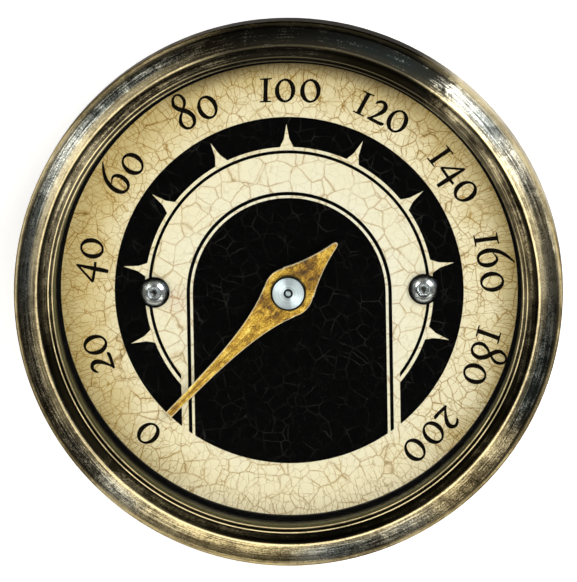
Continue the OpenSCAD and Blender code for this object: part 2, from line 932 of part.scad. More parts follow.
// Plate with three poles round the magnet: the legs carry the coils
module stator() {
    slot_w = 0.5;
    color("#8d9196")
    translate([0, 0, coil_mid - stator_t / 2])
        linear_extrude(stator_t)
            difference() {
                union() {
                    for (y = [yoke_y, foot_y])
                        translate([0, y])
                            square([2 * coil_x + leg_w, bar_w], center = true);
                    for (side = [-1, 1])
                        translate([side * coil_x, (yoke_y + foot_y) / 2])
                            square([leg_w, yoke_y - foot_y], center = true);
                    translate([-leg_w / 2, rotor_pos.y])
                        square([leg_w, yoke_y - rotor_pos.y]);
                    translate([0, rotor_pos.y])
                        circle(pole_r);
                    translate([-pole_r, foot_y])
                        square([2 * pole_r, rotor_pos.y - foot_y]);
                }
                translate([0, rotor_pos.y])
                    circle(stator_bore_r);
                for (angle = [30, 150, 270])
                    translate([0, rotor_pos.y])
                        rotate(angle)
                            translate([0, -slot_w / 2])
                                square([2 * pole_r, slot_w]);
            }
}

module at_coils() {
    for (side = [-1, 1])
        translate([side * coil_x, coil_y + bobbin_l / 2, coil_mid])
            rotate([90, 0, 0])
                children();
}

// Section through a bobbin's core, across the stator's leg
module core_section(grow) {
    square([leg_w + 0.1 + 2 * grow, stator_t + 0.1 + 2 * grow], center = true);
}

module coil_bobbins() {
    color("#e7e2d2")
    at_coils()
        difference() {
            union() {
                linear_extrude(bobbin_l)
                    core_section(bobbin_wall);
                for (z = [0, bobbin_l - flange_t])
                    translate([0, 0, z])
                        linear_extrude(flange_t)
                            rounded_rect(coil_w, coil_h, 0.5);
            }
            translate([0, 0, -1])
                linear_extrude(bobbin_l + 2)
                    core_section(0);
        }
}

module coil_windings() {
    color("#b4622c")
    at_coils()
        translate([0, 0, flange_t])
            linear_extrude(coil_l)
                difference() {
                    rounded_rect(coil_w - 0.4, coil_h - 0.3, 1);
                    core_section(bobbin_wall);
                }
}

module motor_pins() {
    foot_z = coil_mid - 1;
    color("#c9cccf")
    at_motor_pins()
        translate([0, 0, foot_z])
            cylinder(r = pin_r, h = board_top - slide_gap - foot_z);
}

module main_board() {
    color("#1f4a33")
    translate([0, 0, board_z])
        linear_extrude(board_t)
            difference() {
                circle(board_r);
                circle(shaft_r + 1.2);
                at_lugs()
                    circle(screw_r + hole_gap);
                at_dial_screws()
                    circle(screw_r + hole_gap);
                at_pegs()
                    circle(peg_r + slide_gap);
                at_motor_pins()
                    circle(pin_r + slide_gap);
                at_contacts()
                    circle(contact_r + slide_gap);
            }
}

module board_screws() {
    color("#c9cccf")
    at_lugs()
        translate([0, 0, board_top])
            button_screw(screw_l + 1);
}

module display_glass() {
    color("#39412f")
    translate([0, display_y, display_z])
        linear_extrude(display_t)
            square([display_w, display_h], center = true);
}

// Frame round the display: an inner rail carries the glass
module display_frame() {
    rail = 0.6;
    color("#e4e3dd")
    translate([0, display_y, 0]) {
        translate([0, 0, board_top])
            linear_extrude(display_top - board_top)
                difference() {
                    rounded_rect(frame_w, frame_h, 1);
                    square([display_w + 0.3, display_h + 0.3], center = true);
                }
        translate([0, 0, board_top])
            linear_extrude(guide_z - board_top)
                difference() {
                    square([display_w + 0.4, guide_h], center = true);
                    square([display_w - 2 * rail, guide_h - 2 * rail], center = true);
                    for (side = [-1, 1])
                        translate([side * led_x, 0])
                            square([led_size.x + 0.3, led_size.y + 0.3], center = true);
                }
        for (side = [-1, 1])
            translate([side * (display_w / 2 - rail / 2 + 0.1), 0, board_top])
                linear_extrude(display_z - board_top)
                    square([rail + 0.2, guide_h], center = true);
    }
}

module light_guide() {
    color("#f4f4ef")
    translate([0, display_y, guide_z])
        linear_extrude(guide_t)
            square([guide_w, guide_h - 0.2], center = true);
}

module backlight_leds() {
    color("#f3efd0")
    for (side = [-1, 1])
        translate([side * led_x, display_y, board_top])
            linear_extrude(led_size.z)
                square([led_size.x, led_size.y], center = true);
}

// Soft strips that join the glass to the board's contacts
module contact_strips() {
    color("#4a4a4e")
    for (side = [-1, 1])
        translate([0, display_y + side * (display_h / 2 - strip_w / 2 - 0.2), board_top])
            linear_extrude(display_z - board_top)
                square([display_w - 2 * strip_w, strip_w], center = true);
}

module processor() {
    lead_n = 8;
    lead_pitch = 0.8;
    lead_w = 0.3;
    dot_inset = 1;
    color("#202226")
    translate([processor_pos.x, processor_pos.y, board_top]) {
        translate([0, 0, 0.1])
            linear_extrude(1.1)
                difference() {
                    rounded_rect(processor_w, processor_w, 0.3);
                    translate([dot_inset - processor_w / 2, processor_w / 2 - dot_inset])
                        circle(0.4);
                }
        for (turn = [0 : 3], i = [0 : lead_n - 1])
            rotate(90 * turn)
                translate([processor_w / 2 - 0.2, (i - (lead_n - 1) / 2) * lead_pitch - lead_w / 2, 0])
                    cube([lead_l + 0.2, lead_w, lead_w]);
    }
}

module crystal() {
    color("#c5c8ca")
    translate([crystal_pos.x, crystal_pos.y, board_top])
        linear_extrude(1.1)
            rounded_rect(crystal_size.x, crystal_size.y, 0.6);
}

// Voltage regulator: a moulded body on its metal tab
module regulator() {
    tab_t = 0.5;
    tab_stand = 1.2;
    moulding_h = 1.8;
    leg_w = 0.8;
    leg_l = 2.4;
    color("#26282b")
    translate([regulator_pos.x, regulator_pos.y, board_top]) {
        linear_extrude(tab_t)
            translate([0, tab_stand])
                square([regulator_size.x - 1.1, regulator_size.y + tab_stand], center = true);
        translate([0, 0, tab_t])
            linear_extrude(moulding_h)
                square(regulator_size, center = true);
        for (side = [-1, 1])
            translate([side * regulator_size.x * 0.36 - leg_w / 2, -regulator_size.y / 2 - leg_l, 0])
                cube([leg_w, leg_l + 0.4, tab_t + eps]);
    }
}

// Smoothing capacitor on the back of the board
module capacitor() {
    can_h = 8;
    base_h = 1;
    color("#3f4a63")
    translate([capacitor_pos.x, capacitor_pos.y, board_z])
        mirror([0, 0, 1]) {
            linear_extrude(base_h)
                square(2 * capacitor_r + 0.4, center = true);
            translate([0, 0, base_h - eps])
                rotate_extrude()
                    difference() {
                        square([capacitor_r, can_h]);
                        translate([capacitor_r, 0.8])
                            circle(0.25);
                    }
        }
}

module chip_resistors() {
    count = 6;
    color("#3a3c40")
    for (i = [0 : count - 1])
        rotate(resistor_bearing + (i - (count - 1) / 2) * resistor_step)
            translate([board_r - resistor_inset, 0, board_top])
                linear_extrude(0.6)
                    square(resistor_size, center = true);
}

module at_contacts() {
    for (i = [0 : contact_n - 1])
        translate([0, connector_y])
            rotate(360 * (i + 0.5) / contact_n)
                translate([contact_pitch_r, 0])
                    children();
}

module at_mounts() {
    for (side = [-1, 1])
        translate([side * mount_spacing / 2, 0])
            children();
}

// Plate in the housing's rear step, with a sealing rim, screw pads and two threaded bosses
module rear_cover() {
    color("#45443f")
    difference() {
        union() {
            cylinder(r = cover_r, h = cover_t);
            translate([0, 0, cover_t - eps])
                linear_extrude(rim_h + eps) {
                    difference() {
                        circle(rim_r);
                        circle(rim_r - rim_w);
                    }
                    at_lugs()
                        circle(lug_r);
                }
            at_mounts()
                cylinder(r = boss_r, h = boss_top);
        }
        translate([0, 0, cover_t + (rim_h - seal_h) / 2])
            ring(rim_r + 1, bore_r - seal_depth, seal_h);
        at_mounts()
            translate([0, 0, -eps])
                cylinder(d = mount_hole_d, h = mount_depth + eps);
        at_lugs()
            rotate_extrude()
                polygon([[0, -eps], [screw_head_r + hole_gap, -eps], [screw_head_r + hole_gap, 0.2],
                    [screw_r + hole_gap, sink_h + 0.2], [screw_r + hole_gap, lug_z + 1],
                    [0, lug_z + 1]]);
        translate([0, connector_y, -eps]) {
            cylinder(r = connector_r + slide_gap, h = cover_t + 1);
            cylinder(r = flange_r + slide_gap, h = connector_sink + connector_flange_t + eps);
        }
    }
}

// Squeezed sealing ring in the cover's groove
module cover_seal() {
    color("#1c1c1c")
    translate([0, 0, cover_t + rim_h / 2])
        rotate_extrude()
            translate([bore_r - seal_depth / 2, 0])
                rounded_rect(seal_depth, seal_h - 0.1, 0.4);
}

module cover_screws() {
    head_z = 0.2;
    color("#c9cccf")
    at_lugs()
        difference() {
            union() {
                translate([0, 0, head_z])
                    cylinder(r1 = screw_head_r - head_z, r2 = screw_r - thread_gap, h = sink_h);
                translate([0, 0, head_z + sink_h - 0.1])
                    cylinder(r = screw_r - thread_gap, h = lug_z + lug_hole - 1 - sink_h);
            }
            translate([0, 0, head_z - eps])
                cylinder(d = screw_hex / cos(30), h = 0.9, $fn = 6);
        }
}

// Round socket with a flange let into the cover and a key rib in its bore
module connector_body() {
    key_w = 1.2;
    key_h = 0.8;
    color("#1a1c1e")
    translate([0, connector_y, connector_sink])
        union() {
            difference() {
                union() {
                    cylinder(r = connector_r, h = connector_l);
                    cylinder(r = flange_r, h = connector_flange_t);
                }
                translate([0, 0, -eps])
                    cylinder(r = socket_r, h = socket_depth);
                translate([0, -connector_y, 0])
                    at_contacts()
                        cylinder(r = contact_r + press_gap, h = connector_l + 1);
            }
            translate([-key_w / 2, socket_r - key_h, 1])
                cube([key_w, key_h + 0.4, socket_depth - 1]);
        }
}

module connector_pins() {
    color("#c9a44a")
    at_contacts()
        translate([0, 0, contact_tip_z])
            cylinder(r = contact_r, h = board_top + contact_stand - contact_tip_z);
}

module connector_nut() {
    color("#c9cccf")
    translate([0, connector_y, cover_t])
        linear_extrude(nut_h)
            difference() {
                circle(nut_r, $fn = 6);
                circle(connector_r + thread_gap);
            }
}

housing();
bezel();
lens();
lens_seal();
spacer_ring();
dial_face();
dial_print();
dial_plate();
dial_screws();
standoffs();
standoff_screws();
pointer();
pointer_cap();
pointer_hub();
output_shaft();
output_wheel();
idler_wheel();
idler_pinion();
rotor_magnet();
rotor_pinion();
motor_front_case();
motor_rear_case();
stator();
coil_bobbins();
coil_windings();
motor_pins();
main_board();
board_screws();
display_glass();
display_frame();
light_guide();
backlight_leds();
contact_strips();
processor();
crystal();
regulator();
capacitor();
chip_resistors();
rear_cover();
cover_seal();
cover_screws();
connector_body();
connector_pins();
connector_nut();
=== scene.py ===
import math
import bmesh
import bpy
from mathutils import Matrix, Vector, geometry


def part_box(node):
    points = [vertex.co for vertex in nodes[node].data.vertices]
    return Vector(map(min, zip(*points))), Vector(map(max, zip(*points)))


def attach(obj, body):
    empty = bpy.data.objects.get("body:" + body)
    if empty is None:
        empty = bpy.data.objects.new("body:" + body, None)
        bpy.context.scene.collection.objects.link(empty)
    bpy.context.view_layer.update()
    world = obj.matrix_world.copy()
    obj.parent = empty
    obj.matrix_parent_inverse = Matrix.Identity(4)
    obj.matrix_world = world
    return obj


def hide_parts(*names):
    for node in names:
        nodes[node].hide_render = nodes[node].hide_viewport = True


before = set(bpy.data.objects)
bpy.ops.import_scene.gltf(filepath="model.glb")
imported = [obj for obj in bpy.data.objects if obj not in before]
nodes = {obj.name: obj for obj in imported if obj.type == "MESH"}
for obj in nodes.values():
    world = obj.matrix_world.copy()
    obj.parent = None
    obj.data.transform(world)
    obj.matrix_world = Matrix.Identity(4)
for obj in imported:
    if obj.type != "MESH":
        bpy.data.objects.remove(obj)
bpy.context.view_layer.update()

mm = 0.001
print("frame loaded:", len(nodes), "CAD nodes")


# small helpers
def linearColour(hexColour):
    # sRGB hex to the linear numbers that shaders work in
    parts = [int(hexColour[i:i + 2], 16) / 255 for i in (1, 3, 5)]
    return [p / 12.92 if p <= 0.04045 else ((p + 0.055) / 1.055) ** 2.4 for p in parts] + [1]


def feed(tree, sockets, inputs):
    # inputs: what each socket gets, in their order or by name; a node or an output is linked, the rest is set
    for key, source in inputs.items() if isinstance(inputs, dict) else enumerate(inputs):
        socket = sockets[key] if isinstance(key, int) else next(s for s in sockets if s.name == key and s.enabled)
        if isinstance(source, bpy.types.Node):
            source = next(s for s in source.outputs if s.enabled)
        if isinstance(source, bpy.types.NodeSocket):
            tree.links.new(source, socket)
        else:
            socket.default_value = linearColour(source) if isinstance(source, str) else source


def addNode(tree, kind, inputs=(), stops=(), **settings):
    # stops: a colour ramp's positions and hex colours, in order; settings: the node's own properties
    node = tree.nodes.new("ShaderNode" + kind)
    for key, value in settings.items():
        setattr(node, key, value)
    feed(tree, node.inputs, inputs)
    for _ in stops[2:]:
        node.color_ramp.elements.new(0.5)
    for i, (position, hexColour) in enumerate(stops):
        element = node.color_ramp.elements[i]
        element.position, element.color = position, linearColour(hexColour)
    return node


def newFinish(name):
    # a material with its Principled shader and its place on the object in millimetres
    material = bpy.data.materials.new(name)
    material.use_nodes = True
    tree = material.node_tree
    place = addNode(tree, "TexCoord").outputs["Object"]
    millimetres = addNode(tree, "VectorMath", {0: place, "Scale": 1 / mm}, operation="SCALE")
    return material, tree, tree.nodes["Principled BSDF"], millimetres


def dress(material, *names):
    for name in names:
        mesh = nodes[name].data
        mesh.materials.clear()
        mesh.materials.append(material)


def roundPlace(tree, millimetres):
    # distance from the gauge's axis, and a point that goes round the axis without a seam
    flat = addNode(tree, "VectorMath", [millimetres, (1, 1, 0)], operation="MULTIPLY")
    radius = addNode(tree, "VectorMath", [flat], operation="LENGTH")
    return radius, addNode(tree, "VectorMath", [flat], operation="NORMALIZE")


def offsets(tree, cloud, reach):
    # a noise's colour as a push in any direction
    centred = addNode(tree, "VectorMath", [cloud.outputs["Color"], (0.5, 0.5, 0.5)], operation="SUBTRACT")
    return addNode(tree, "VectorMath", {0: centred, "Scale": reach}, operation="SCALE")


def facingUp(tree):
    # 1 on faces that look up, 0 on upright ones
    normal = addNode(tree, "NewGeometry").outputs["True Normal"]
    return addNode(tree, "SeparateXYZ", [normal]).outputs["Z"]


# camera
cameraView = {
    "sensor": 36,             # millimetres
    "distance": 1.5,          # metres from the gauge, far enough to look nearly flat
    "fieldAtBezel": 0.08481,  # metres seen on the photograph's long side
    "tilt": 7.8,              # degrees off the dial's normal
    "tiltBearing": 73,        # degrees from +X, the way the camera leans
    "roll": 0.95,             # degrees that the gauge looks turned to the left
    "aim": (0.00004, 0.00036, 0.033),
}
tilt = math.radians(cameraView["tilt"])
bearing = math.radians(cameraView["tiltBearing"])
roll = math.radians(cameraView["roll"])
back = Vector((math.sin(tilt) * math.cos(bearing), math.sin(tilt) * math.sin(bearing), math.cos(tilt)))
up = Vector((math.sin(roll), math.cos(roll), 0))
up = (up - back * up.dot(back)).normalized()
side = up.cross(back)
camera = bpy.data.objects.new("camera", bpy.data.cameras.new("camera"))
bpy.context.scene.collection.objects.link(camera)
bpy.context.scene.camera = camera
camera.data.sensor_width = cameraView["sensor"]
camera.data.lens = cameraView["sensor"] * cameraView["distance"] / cameraView["fieldAtBezel"]
camera.data.clip_start = 0.05
place = Vector(cameraView["aim"]) + back * cameraView["distance"]
turn = Matrix((side, up, back)).transposed().to_4x4()
camera.matrix_world = Matrix.Translation(place) @ turn
print("camera set")


# studio: pale floor, soft boxes and a dim room
bpy.context.scene.view_settings.view_transform = "Standard"
dialCentre = (0, 0, 0.03)   # metres, what the soft boxes look at
softBoxes = {
    # bearing from +X and height above the floor in degrees, distance, width and depth in metres, watts
    "key": {"bearing": 40, "height": 61, "distance": 0.7, "size": (0.34, 0.5), "power": 3.2, "tone": "#ffffff"},
    "front": {"bearing": 268, "height": 60, "distance": 0.8, "size": (1.2, 0.45), "power": 4.7, "tone": "#fffdf8"},
    "left": {"bearing": 147, "height": 55, "distance": 0.8, "size": (0.36, 0.3), "power": 1.4, "tone": "#fffdf8"},
    "lowRight": {"bearing": 28, "height": 16, "distance": 0.8, "size": (0.7, 0.3), "power": 2.0, "tone": "#eef3ff"},
    "lowFront": {"bearing": 265, "height": 16, "distance": 0.8, "size": (1.1, 0.3), "power": 1.15, "tone": "#fffaf0"},
    "lowLeft": {"bearing": 148, "height": 16, "distance": 0.8, "size": (0.4, 0.3), "power": 0.4, "tone": "#fffdf8"},
}
for name, box in softBoxes.items():
    lamp = bpy.data.lights.new(name, "AREA")
    lamp.shape = "RECTANGLE"
    lamp.size, lamp.size_y = box["size"]
    lamp.energy = box["power"]
    lamp.color = linearColour(box["tone"])[:3]
    holder = bpy.data.objects.new(name, lamp)
    bpy.context.scene.collection.objects.link(holder)
    azimuth, lift = math.radians(box["bearing"]), math.radians(box["height"])
    outward = Vector((math.cos(lift) * math.cos(azimuth), math.cos(lift) * math.sin(azimuth), math.sin(lift)))
    holder.location = Vector(dialCentre) + outward * box["distance"]
    holder.rotation_euler = outward.to_track_quat("Z", "Y").to_euler()

# the camera sees a white room, but the gauge is lit by a dim one, so that the brass keeps its dark parts
roomLook = {"seen": "#ffffff", "dim": "#f1eee6", "dimStrength": 0.012}
room = bpy.data.worlds.new("room")
bpy.context.scene.world = room
room.use_nodes = True
roomTree = room.node_tree
roomTree.nodes.clear()
seen = addNode(roomTree, "Background", {"Color": roomLook["seen"], "Strength": 1.0})
dim = addNode(roomTree, "Background", {"Color": roomLook["dim"], "Strength": roomLook["dimStrength"]})
cameraRay = addNode(roomTree, "LightPath").outputs["Is Camera Ray"]
addNode(roomTree, "OutputWorld", {"Surface": addNode(roomTree, "MixShader", {0: cameraRay, 1: dim, 2: seen})})

floorLook = {
    "size": 6.0, "gap": 0.2 * mm,    # metres; the gap keeps the flat back from flickering through it
    "glow": 0.45, "fibre": 1.25,     # light from below, and the paper's clouds in mm
}
half, level = floorLook["size"] / 2, -floorLook["gap"]
corners = [(-half, -half, level), (half, -half, level), (half, half, level), (-half, half, level)]
floorMesh = bpy.data.meshes.new("floor")
floorMesh.from_pydata(corners, [], [(0, 1, 2, 3)])
floor = bpy.data.objects.new("floor", floorMesh)
bpy.context.scene.collection.objects.link(floor)
# translucent paper on a light table: even, and lit from below so that it shows white
paper, tree, shader, millimetres = newFinish("matt background paper")
fibre = addNode(tree, "TexNoise", {"Vector": millimetres, "Scale": 1 / floorLook["fibre"], "Detail": 3})
feed(tree, shader.inputs, {
    "Base Color": addNode(tree, "ValToRGB", [fibre], [(0.3, "#f6f5f2"), (0.7, "#faf9f7")]),
    "Roughness": 0.9, "Specular IOR Level": 0.2,
    "Emission Color": "#ffffff", "Emission Strength": floorLook["glow"]})
floorMesh.materials.append(paper)
print("studio set")


# bezel: antiqued and burnished brass
# areas are given by bearing from +X and half length in degrees, and strength; lines by radius, half width and strength
bezelLook = {
    "warm": ((0.05, "#1b150b"), (0.45, "#63563a"), (0.95, "#b3a478")),   # brown patches, from dark to rubbed
    "cool": ((0.05, "#161917"), (0.45, "#595c58"), (0.95, "#abaca4")),   # grey patches
    # the bright lines' tone is partly a painted highlight; the hollow's tone is dirt and painted shade, the wall's is
    # painted shade
    "wornAndHighlight": "#f6e2ae", "hollow": "#0c0a05", "wall": "#15120b",
    "wallGlint": ("#5c523c", "#f4efe0"),         # the side's reflection tint: painted dark where the side is shaded, pale where it is rubbed bright and lit
    "lines": ((36.66, 0.24, 1.0), (37.1, 0.6, 0.06), (39.7, 0.6, 0.3)),   # mm: kept bright by handling, and painted highlights where edges catch the lamps
    "wideRidge": ((37.2, 0.8, 1.0),),
    # the lip's two bead edges, painted as highlights
    "lipLines": ((34.34, 0.12, 1.0), (34.92, 0.11, 1.0)),
    "wideRidgeAreas": ((12, 18, 0.2), (148, 32, 0.35), (196, 12, 0.15)),   # painted highlight: the ridge's line spreads into a wide glow here
    "darkLip": ((62, 55, 0.85),),                # painted shade: the lip's lines are dull here
    "dark": ((82, 24, 1.3), (66, 11, 1.65), (108, 10, 0.85), (3, 7, 0.4), (19, 6, 0.5), (38, 3, 0.5), (125, 13, 0.65),
             (168, 9, 0.4), (188, 8, 0.4), (208, 13, 0.85), (285, 5, 0.5), (308, 8, 0.2), (338, 10, 0.85),
             (352, 8, 0.6)),                     # the patina is left dark, with painted shade where the ring reflects a dark room
    "bare": ((39, 14, 0.4), (8, 10, 0.6), (160, 14, 0.5), (234, 8, 0.3), (254, 11, 0.3)),   # it is nearly rubbed off, and painted lighter as a highlight
    "brown": ((250, 18, 0.8), (316, 14, 0.75)),  # no grey patch shows
    "openHollow": ((18, 36, 0.72), (148, 36, 0.8), (100, 20, 0.5)),        # the hollow's dirt and painted shade are fainter here
    "bareGlintWall": ((36, 20, 0.9),),                # the upright side is rubbed bright: no painted shade, and a pale painted glint
    "areaEnd": (0.75, 1.15, 3),                  # whole to 0.75 of its half length, gone at 1.15 of it and 3 degrees on
    "ragged": 0.22,                              # how far, as a share of the radius, the blots push an area's end about
    "streaks": (5, 4.9),                         # brush marks: noise per radius round the ring, and per mm across it
    "blot": 2.2, "speck": 0.22,                  # mm, size of the patina's blots and specks
    "patches": 1.1,                              # brown and grey ones, per radius of the ring
    "greyFrom": (0.4, 0.56, 0.15), "greyInDark": 0.4,   # noise where grey starts and is full, and its least shares
    "weights": {"brush": 1.5, "dark": -0.4, "bare": 0.22, "smooth": 0.55},   # in the mottling
    "speckWeight": 1.1,
    "wear": (1.4, 2.15),                         # the mottling at which the skin is darkest and rubbed
    "band": 38.2, "bandWidth": (0.6, 1.7, 1, 0.3),   # mm: grey patches lie on the crown, and fade away from it
    "hollowEdge": (36.15, 36.65, 1, 0.1),        # mm: dirt and painted shade stay in the hollow between ridge and lip
    "wallDark": 0.6,                             # how dark the painted shade on the upright side is
    "roughness": (0.34, 0.2), "lineRoughness": 0.42,   # of dark and rubbed skin, and of the lines
}


def stretches(tree, direction, areas):
    # the areas round the ring, each with its strength, soft at their ends
    solid, reach, margin = bezelLook["areaEnd"]
    total = None
    for middle, half, strength in areas:
        a = math.radians(middle)
        near = addNode(tree, "VectorMath", [direction, (math.cos(a), math.sin(a), 0)], operation="DOT_PRODUCT")
        outer, inner = math.cos(math.radians(reach * half + margin)), math.cos(math.radians(solid * half))
        share = addNode(tree, "MapRange", [near, outer, inner, 0, strength])
        total = addNode(tree, "Math", [total, share], operation="MAXIMUM") if total else share
    return total


def ringLines(tree, radius, lines):
    # circles about the axis, each with its strength
    total = None
    for lineRadius, halfWidth, strength in lines:
        away = addNode(tree, "Math", [radius, lineRadius], operation="SUBTRACT")
        away = addNode(tree, "Math", [away], operation="ABSOLUTE")
        line = addNode(tree, "MapRange", [away, 0.25 * halfWidth, halfWidth, strength, 0])
        total = addNode(tree, "Math", [total, line], operation="MAXIMUM") if total else line
    return total


# antique brass, chemically darkened then rubbed back: dark mottled grey-brown with bright lines; some dark and bright
# areas by bearing are painted shade and painted highlights
antiqueBrass, tree, shader, millimetres = newFinish("antiqued rubbed brass")
radius, bearingPoint = roundPlace(tree, millimetres)
roundScale, acrossScale = bezelLook["streaks"]
roundPart = addNode(tree, "VectorMath", {0: bearingPoint, "Scale": roundScale}, operation="SCALE")
across = addNode(tree, "CombineXYZ", {"Z": addNode(tree, "Math", [radius, acrossScale], operation="MULTIPLY")})
brushPlace = addNode(tree, "VectorMath", [roundPart, across], operation="ADD")
brushMarks = addNode(tree, "TexNoise", {"Vector": brushPlace, "Scale": 1, "Detail": 4, "Roughness": 0.6})
blots = addNode(tree, "TexNoise", {
    "Vector": millimetres, "Scale": 1 / bezelLook["blot"], "Detail": 5, "Roughness": 0.65, "Distortion": 0.6})
specks = addNode(tree, "TexNoise", {
    "Vector": millimetres, "Scale": 1 / bezelLook["speck"], "Detail": 2, "Roughness": 0.7})
patches = addNode(tree, "TexNoise", {"Vector": bearingPoint, "Scale": bezelLook["patches"], "Detail": 2})
# the areas end raggedly: their bearing is pushed about by the blots
ragged = addNode(tree, "VectorMath", [bearingPoint, offsets(tree, blots, bezelLook["ragged"])], operation="ADD")
ragged = addNode(tree, "VectorMath", [ragged], operation="NORMALIZE")
areas = {key: stretches(tree, ragged, bezelLook[key]) for key in
         ("dark", "bare", "brown", "openHollow", "darkLip", "bareGlintWall", "wideRidgeAreas")}
outside = {key: addNode(tree, "Math", [1, areas[key]], operation="SUBTRACT") for key in
           ("brown", "openHollow", "darkLip", "bareGlintWall")}
smooth = stretches(tree, ragged, bezelLook["bare"][:1])      # rubbed hardest, so its specks are fainter
darkest = stretches(tree, ragged, bezelLook["dark"][:1])     # never rubbed, and its ridge's line is taken away as painted shade
# the mottling, from which the skin takes its tone and its gloss
speckWeight = bezelLook["speckWeight"]
speckShare = addNode(tree, "Math", [smooth, -speckWeight, speckWeight], operation="MULTIPLY_ADD")
mottle = addNode(tree, "Math", [specks, speckShare, blots], operation="MULTIPLY_ADD")
weighted = {"brush": brushMarks, "dark": areas["dark"], "bare": areas["bare"], "smooth": smooth}
for key, share in weighted.items():
    mottle = addNode(tree, "Math", [share, bezelLook["weights"][key], mottle], operation="MULTIPLY_ADD")
wear = addNode(tree, "MapRange", [mottle, *bezelLook["wear"]])
warm, cool = (addNode(tree, "ValToRGB", [wear], bezelLook[key]) for key in ("warm", "cool"))
# where the skin is grey, dirt-filled and shaded in the hollow, or painted dark on its upright side
fromBand = addNode(tree, "Math", [radius, bezelLook["band"]], operation="SUBTRACT")
fromBand = addNode(tree, "Math", [fromBand], operation="ABSOLUTE")
onBand = addNode(tree, "MapRange", [fromBand, *bezelLook["bandWidth"]])
grey = addNode(tree, "MapRange", [patches, *bezelLook["greyFrom"]])
grey = addNode(tree, "Math", [grey, onBand], operation="MULTIPLY")
darkGrey = addNode(tree, "Math", [areas["dark"], bezelLook["greyInDark"]], operation="MULTIPLY")
grey = addNode(tree, "Math", [grey, darkGrey], operation="MAXIMUM")
grey = addNode(tree, "Math", [grey, outside["brown"]], operation="MULTIPLY")
inHollow = addNode(tree, "MapRange", [radius, *bezelLook["hollowEdge"]])
dirtAndShade = addNode(tree, "Math", [inHollow, addNode(tree, "MapRange", [wear, 0.4, 1, 1, 0.93])], operation="MULTIPLY")
dirtAndShade = addNode(tree, "Math", [dirtAndShade, outside["openHollow"]], operation="MULTIPLY")
# painted shade darkens the upright side, except where it is rubbed bright
upright = addNode(tree, "MapRange", [facingUp(tree), 0.0, 0.3, bezelLook["wallDark"], 0])
upright = addNode(tree, "Math", [upright, outside["bareGlintWall"]], operation="MULTIPLY")
# lines that hands and cloths keep bright, with painted highlights
wide = ringLines(tree, radius, bezelLook["wideRidge"])
wide = addNode(tree, "Math", [wide, areas["wideRidgeAreas"]], operation="MULTIPLY")
ridge = addNode(tree, "Math", [ringLines(tree, radius, bezelLook["lines"]), wide], operation="MAXIMUM")
ridge = addNode(tree, "Math", [ridge, addNode(tree, "MapRange", [darkest, 0, 1, 1, 0.1])], operation="MULTIPLY")
lip = ringLines(tree, radius, bezelLook["lipLines"])
lip = addNode(tree, "Math", [lip, outside["darkLip"]], operation="MULTIPLY")
rubbed = addNode(tree, "Math", [ridge, lip], operation="MAXIMUM")
rubbed = addNode(tree, "Math", [rubbed, addNode(tree, "MapRange", [wear, 0.1, 0.5, 0.5])], operation="MULTIPLY")
skin = warm
for share, tone in ((grey, cool), (dirtAndShade, bezelLook["hollow"]), (upright, bezelLook["wall"]),
                    (rubbed, bezelLook["wornAndHighlight"])):
    skin = addNode(tree, "Mix", {"Factor": share, "A": skin, "B": tone}, data_type="RGBA")
gloss = addNode(tree, "MapRange", [wear, 0, 1, *bezelLook["roughness"]])
darkGlint, bareGlint = bezelLook["wallGlint"]
glint = addNode(tree, "Mix", {"Factor": areas["bareGlintWall"], "A": darkGlint, "B": bareGlint}, data_type="RGBA")
relief = addNode(tree, "Math", [specks, 0.5, brushMarks], operation="MULTIPLY_ADD")
feed(tree, shader.inputs, {
    "Base Color": skin, "Metallic": 1.0, "Specular Tint": glint,
    "Roughness": addNode(tree, "Mix", {"Factor": rubbed, "A": gloss, "B": bezelLook["lineRoughness"]}),
    "Normal": addNode(tree, "Bump", {"Height": relief, "Strength": 0.25, "Distance": 0.04 * mm})})
dress(antiqueBrass, "bezel")
print("bezel dressed")


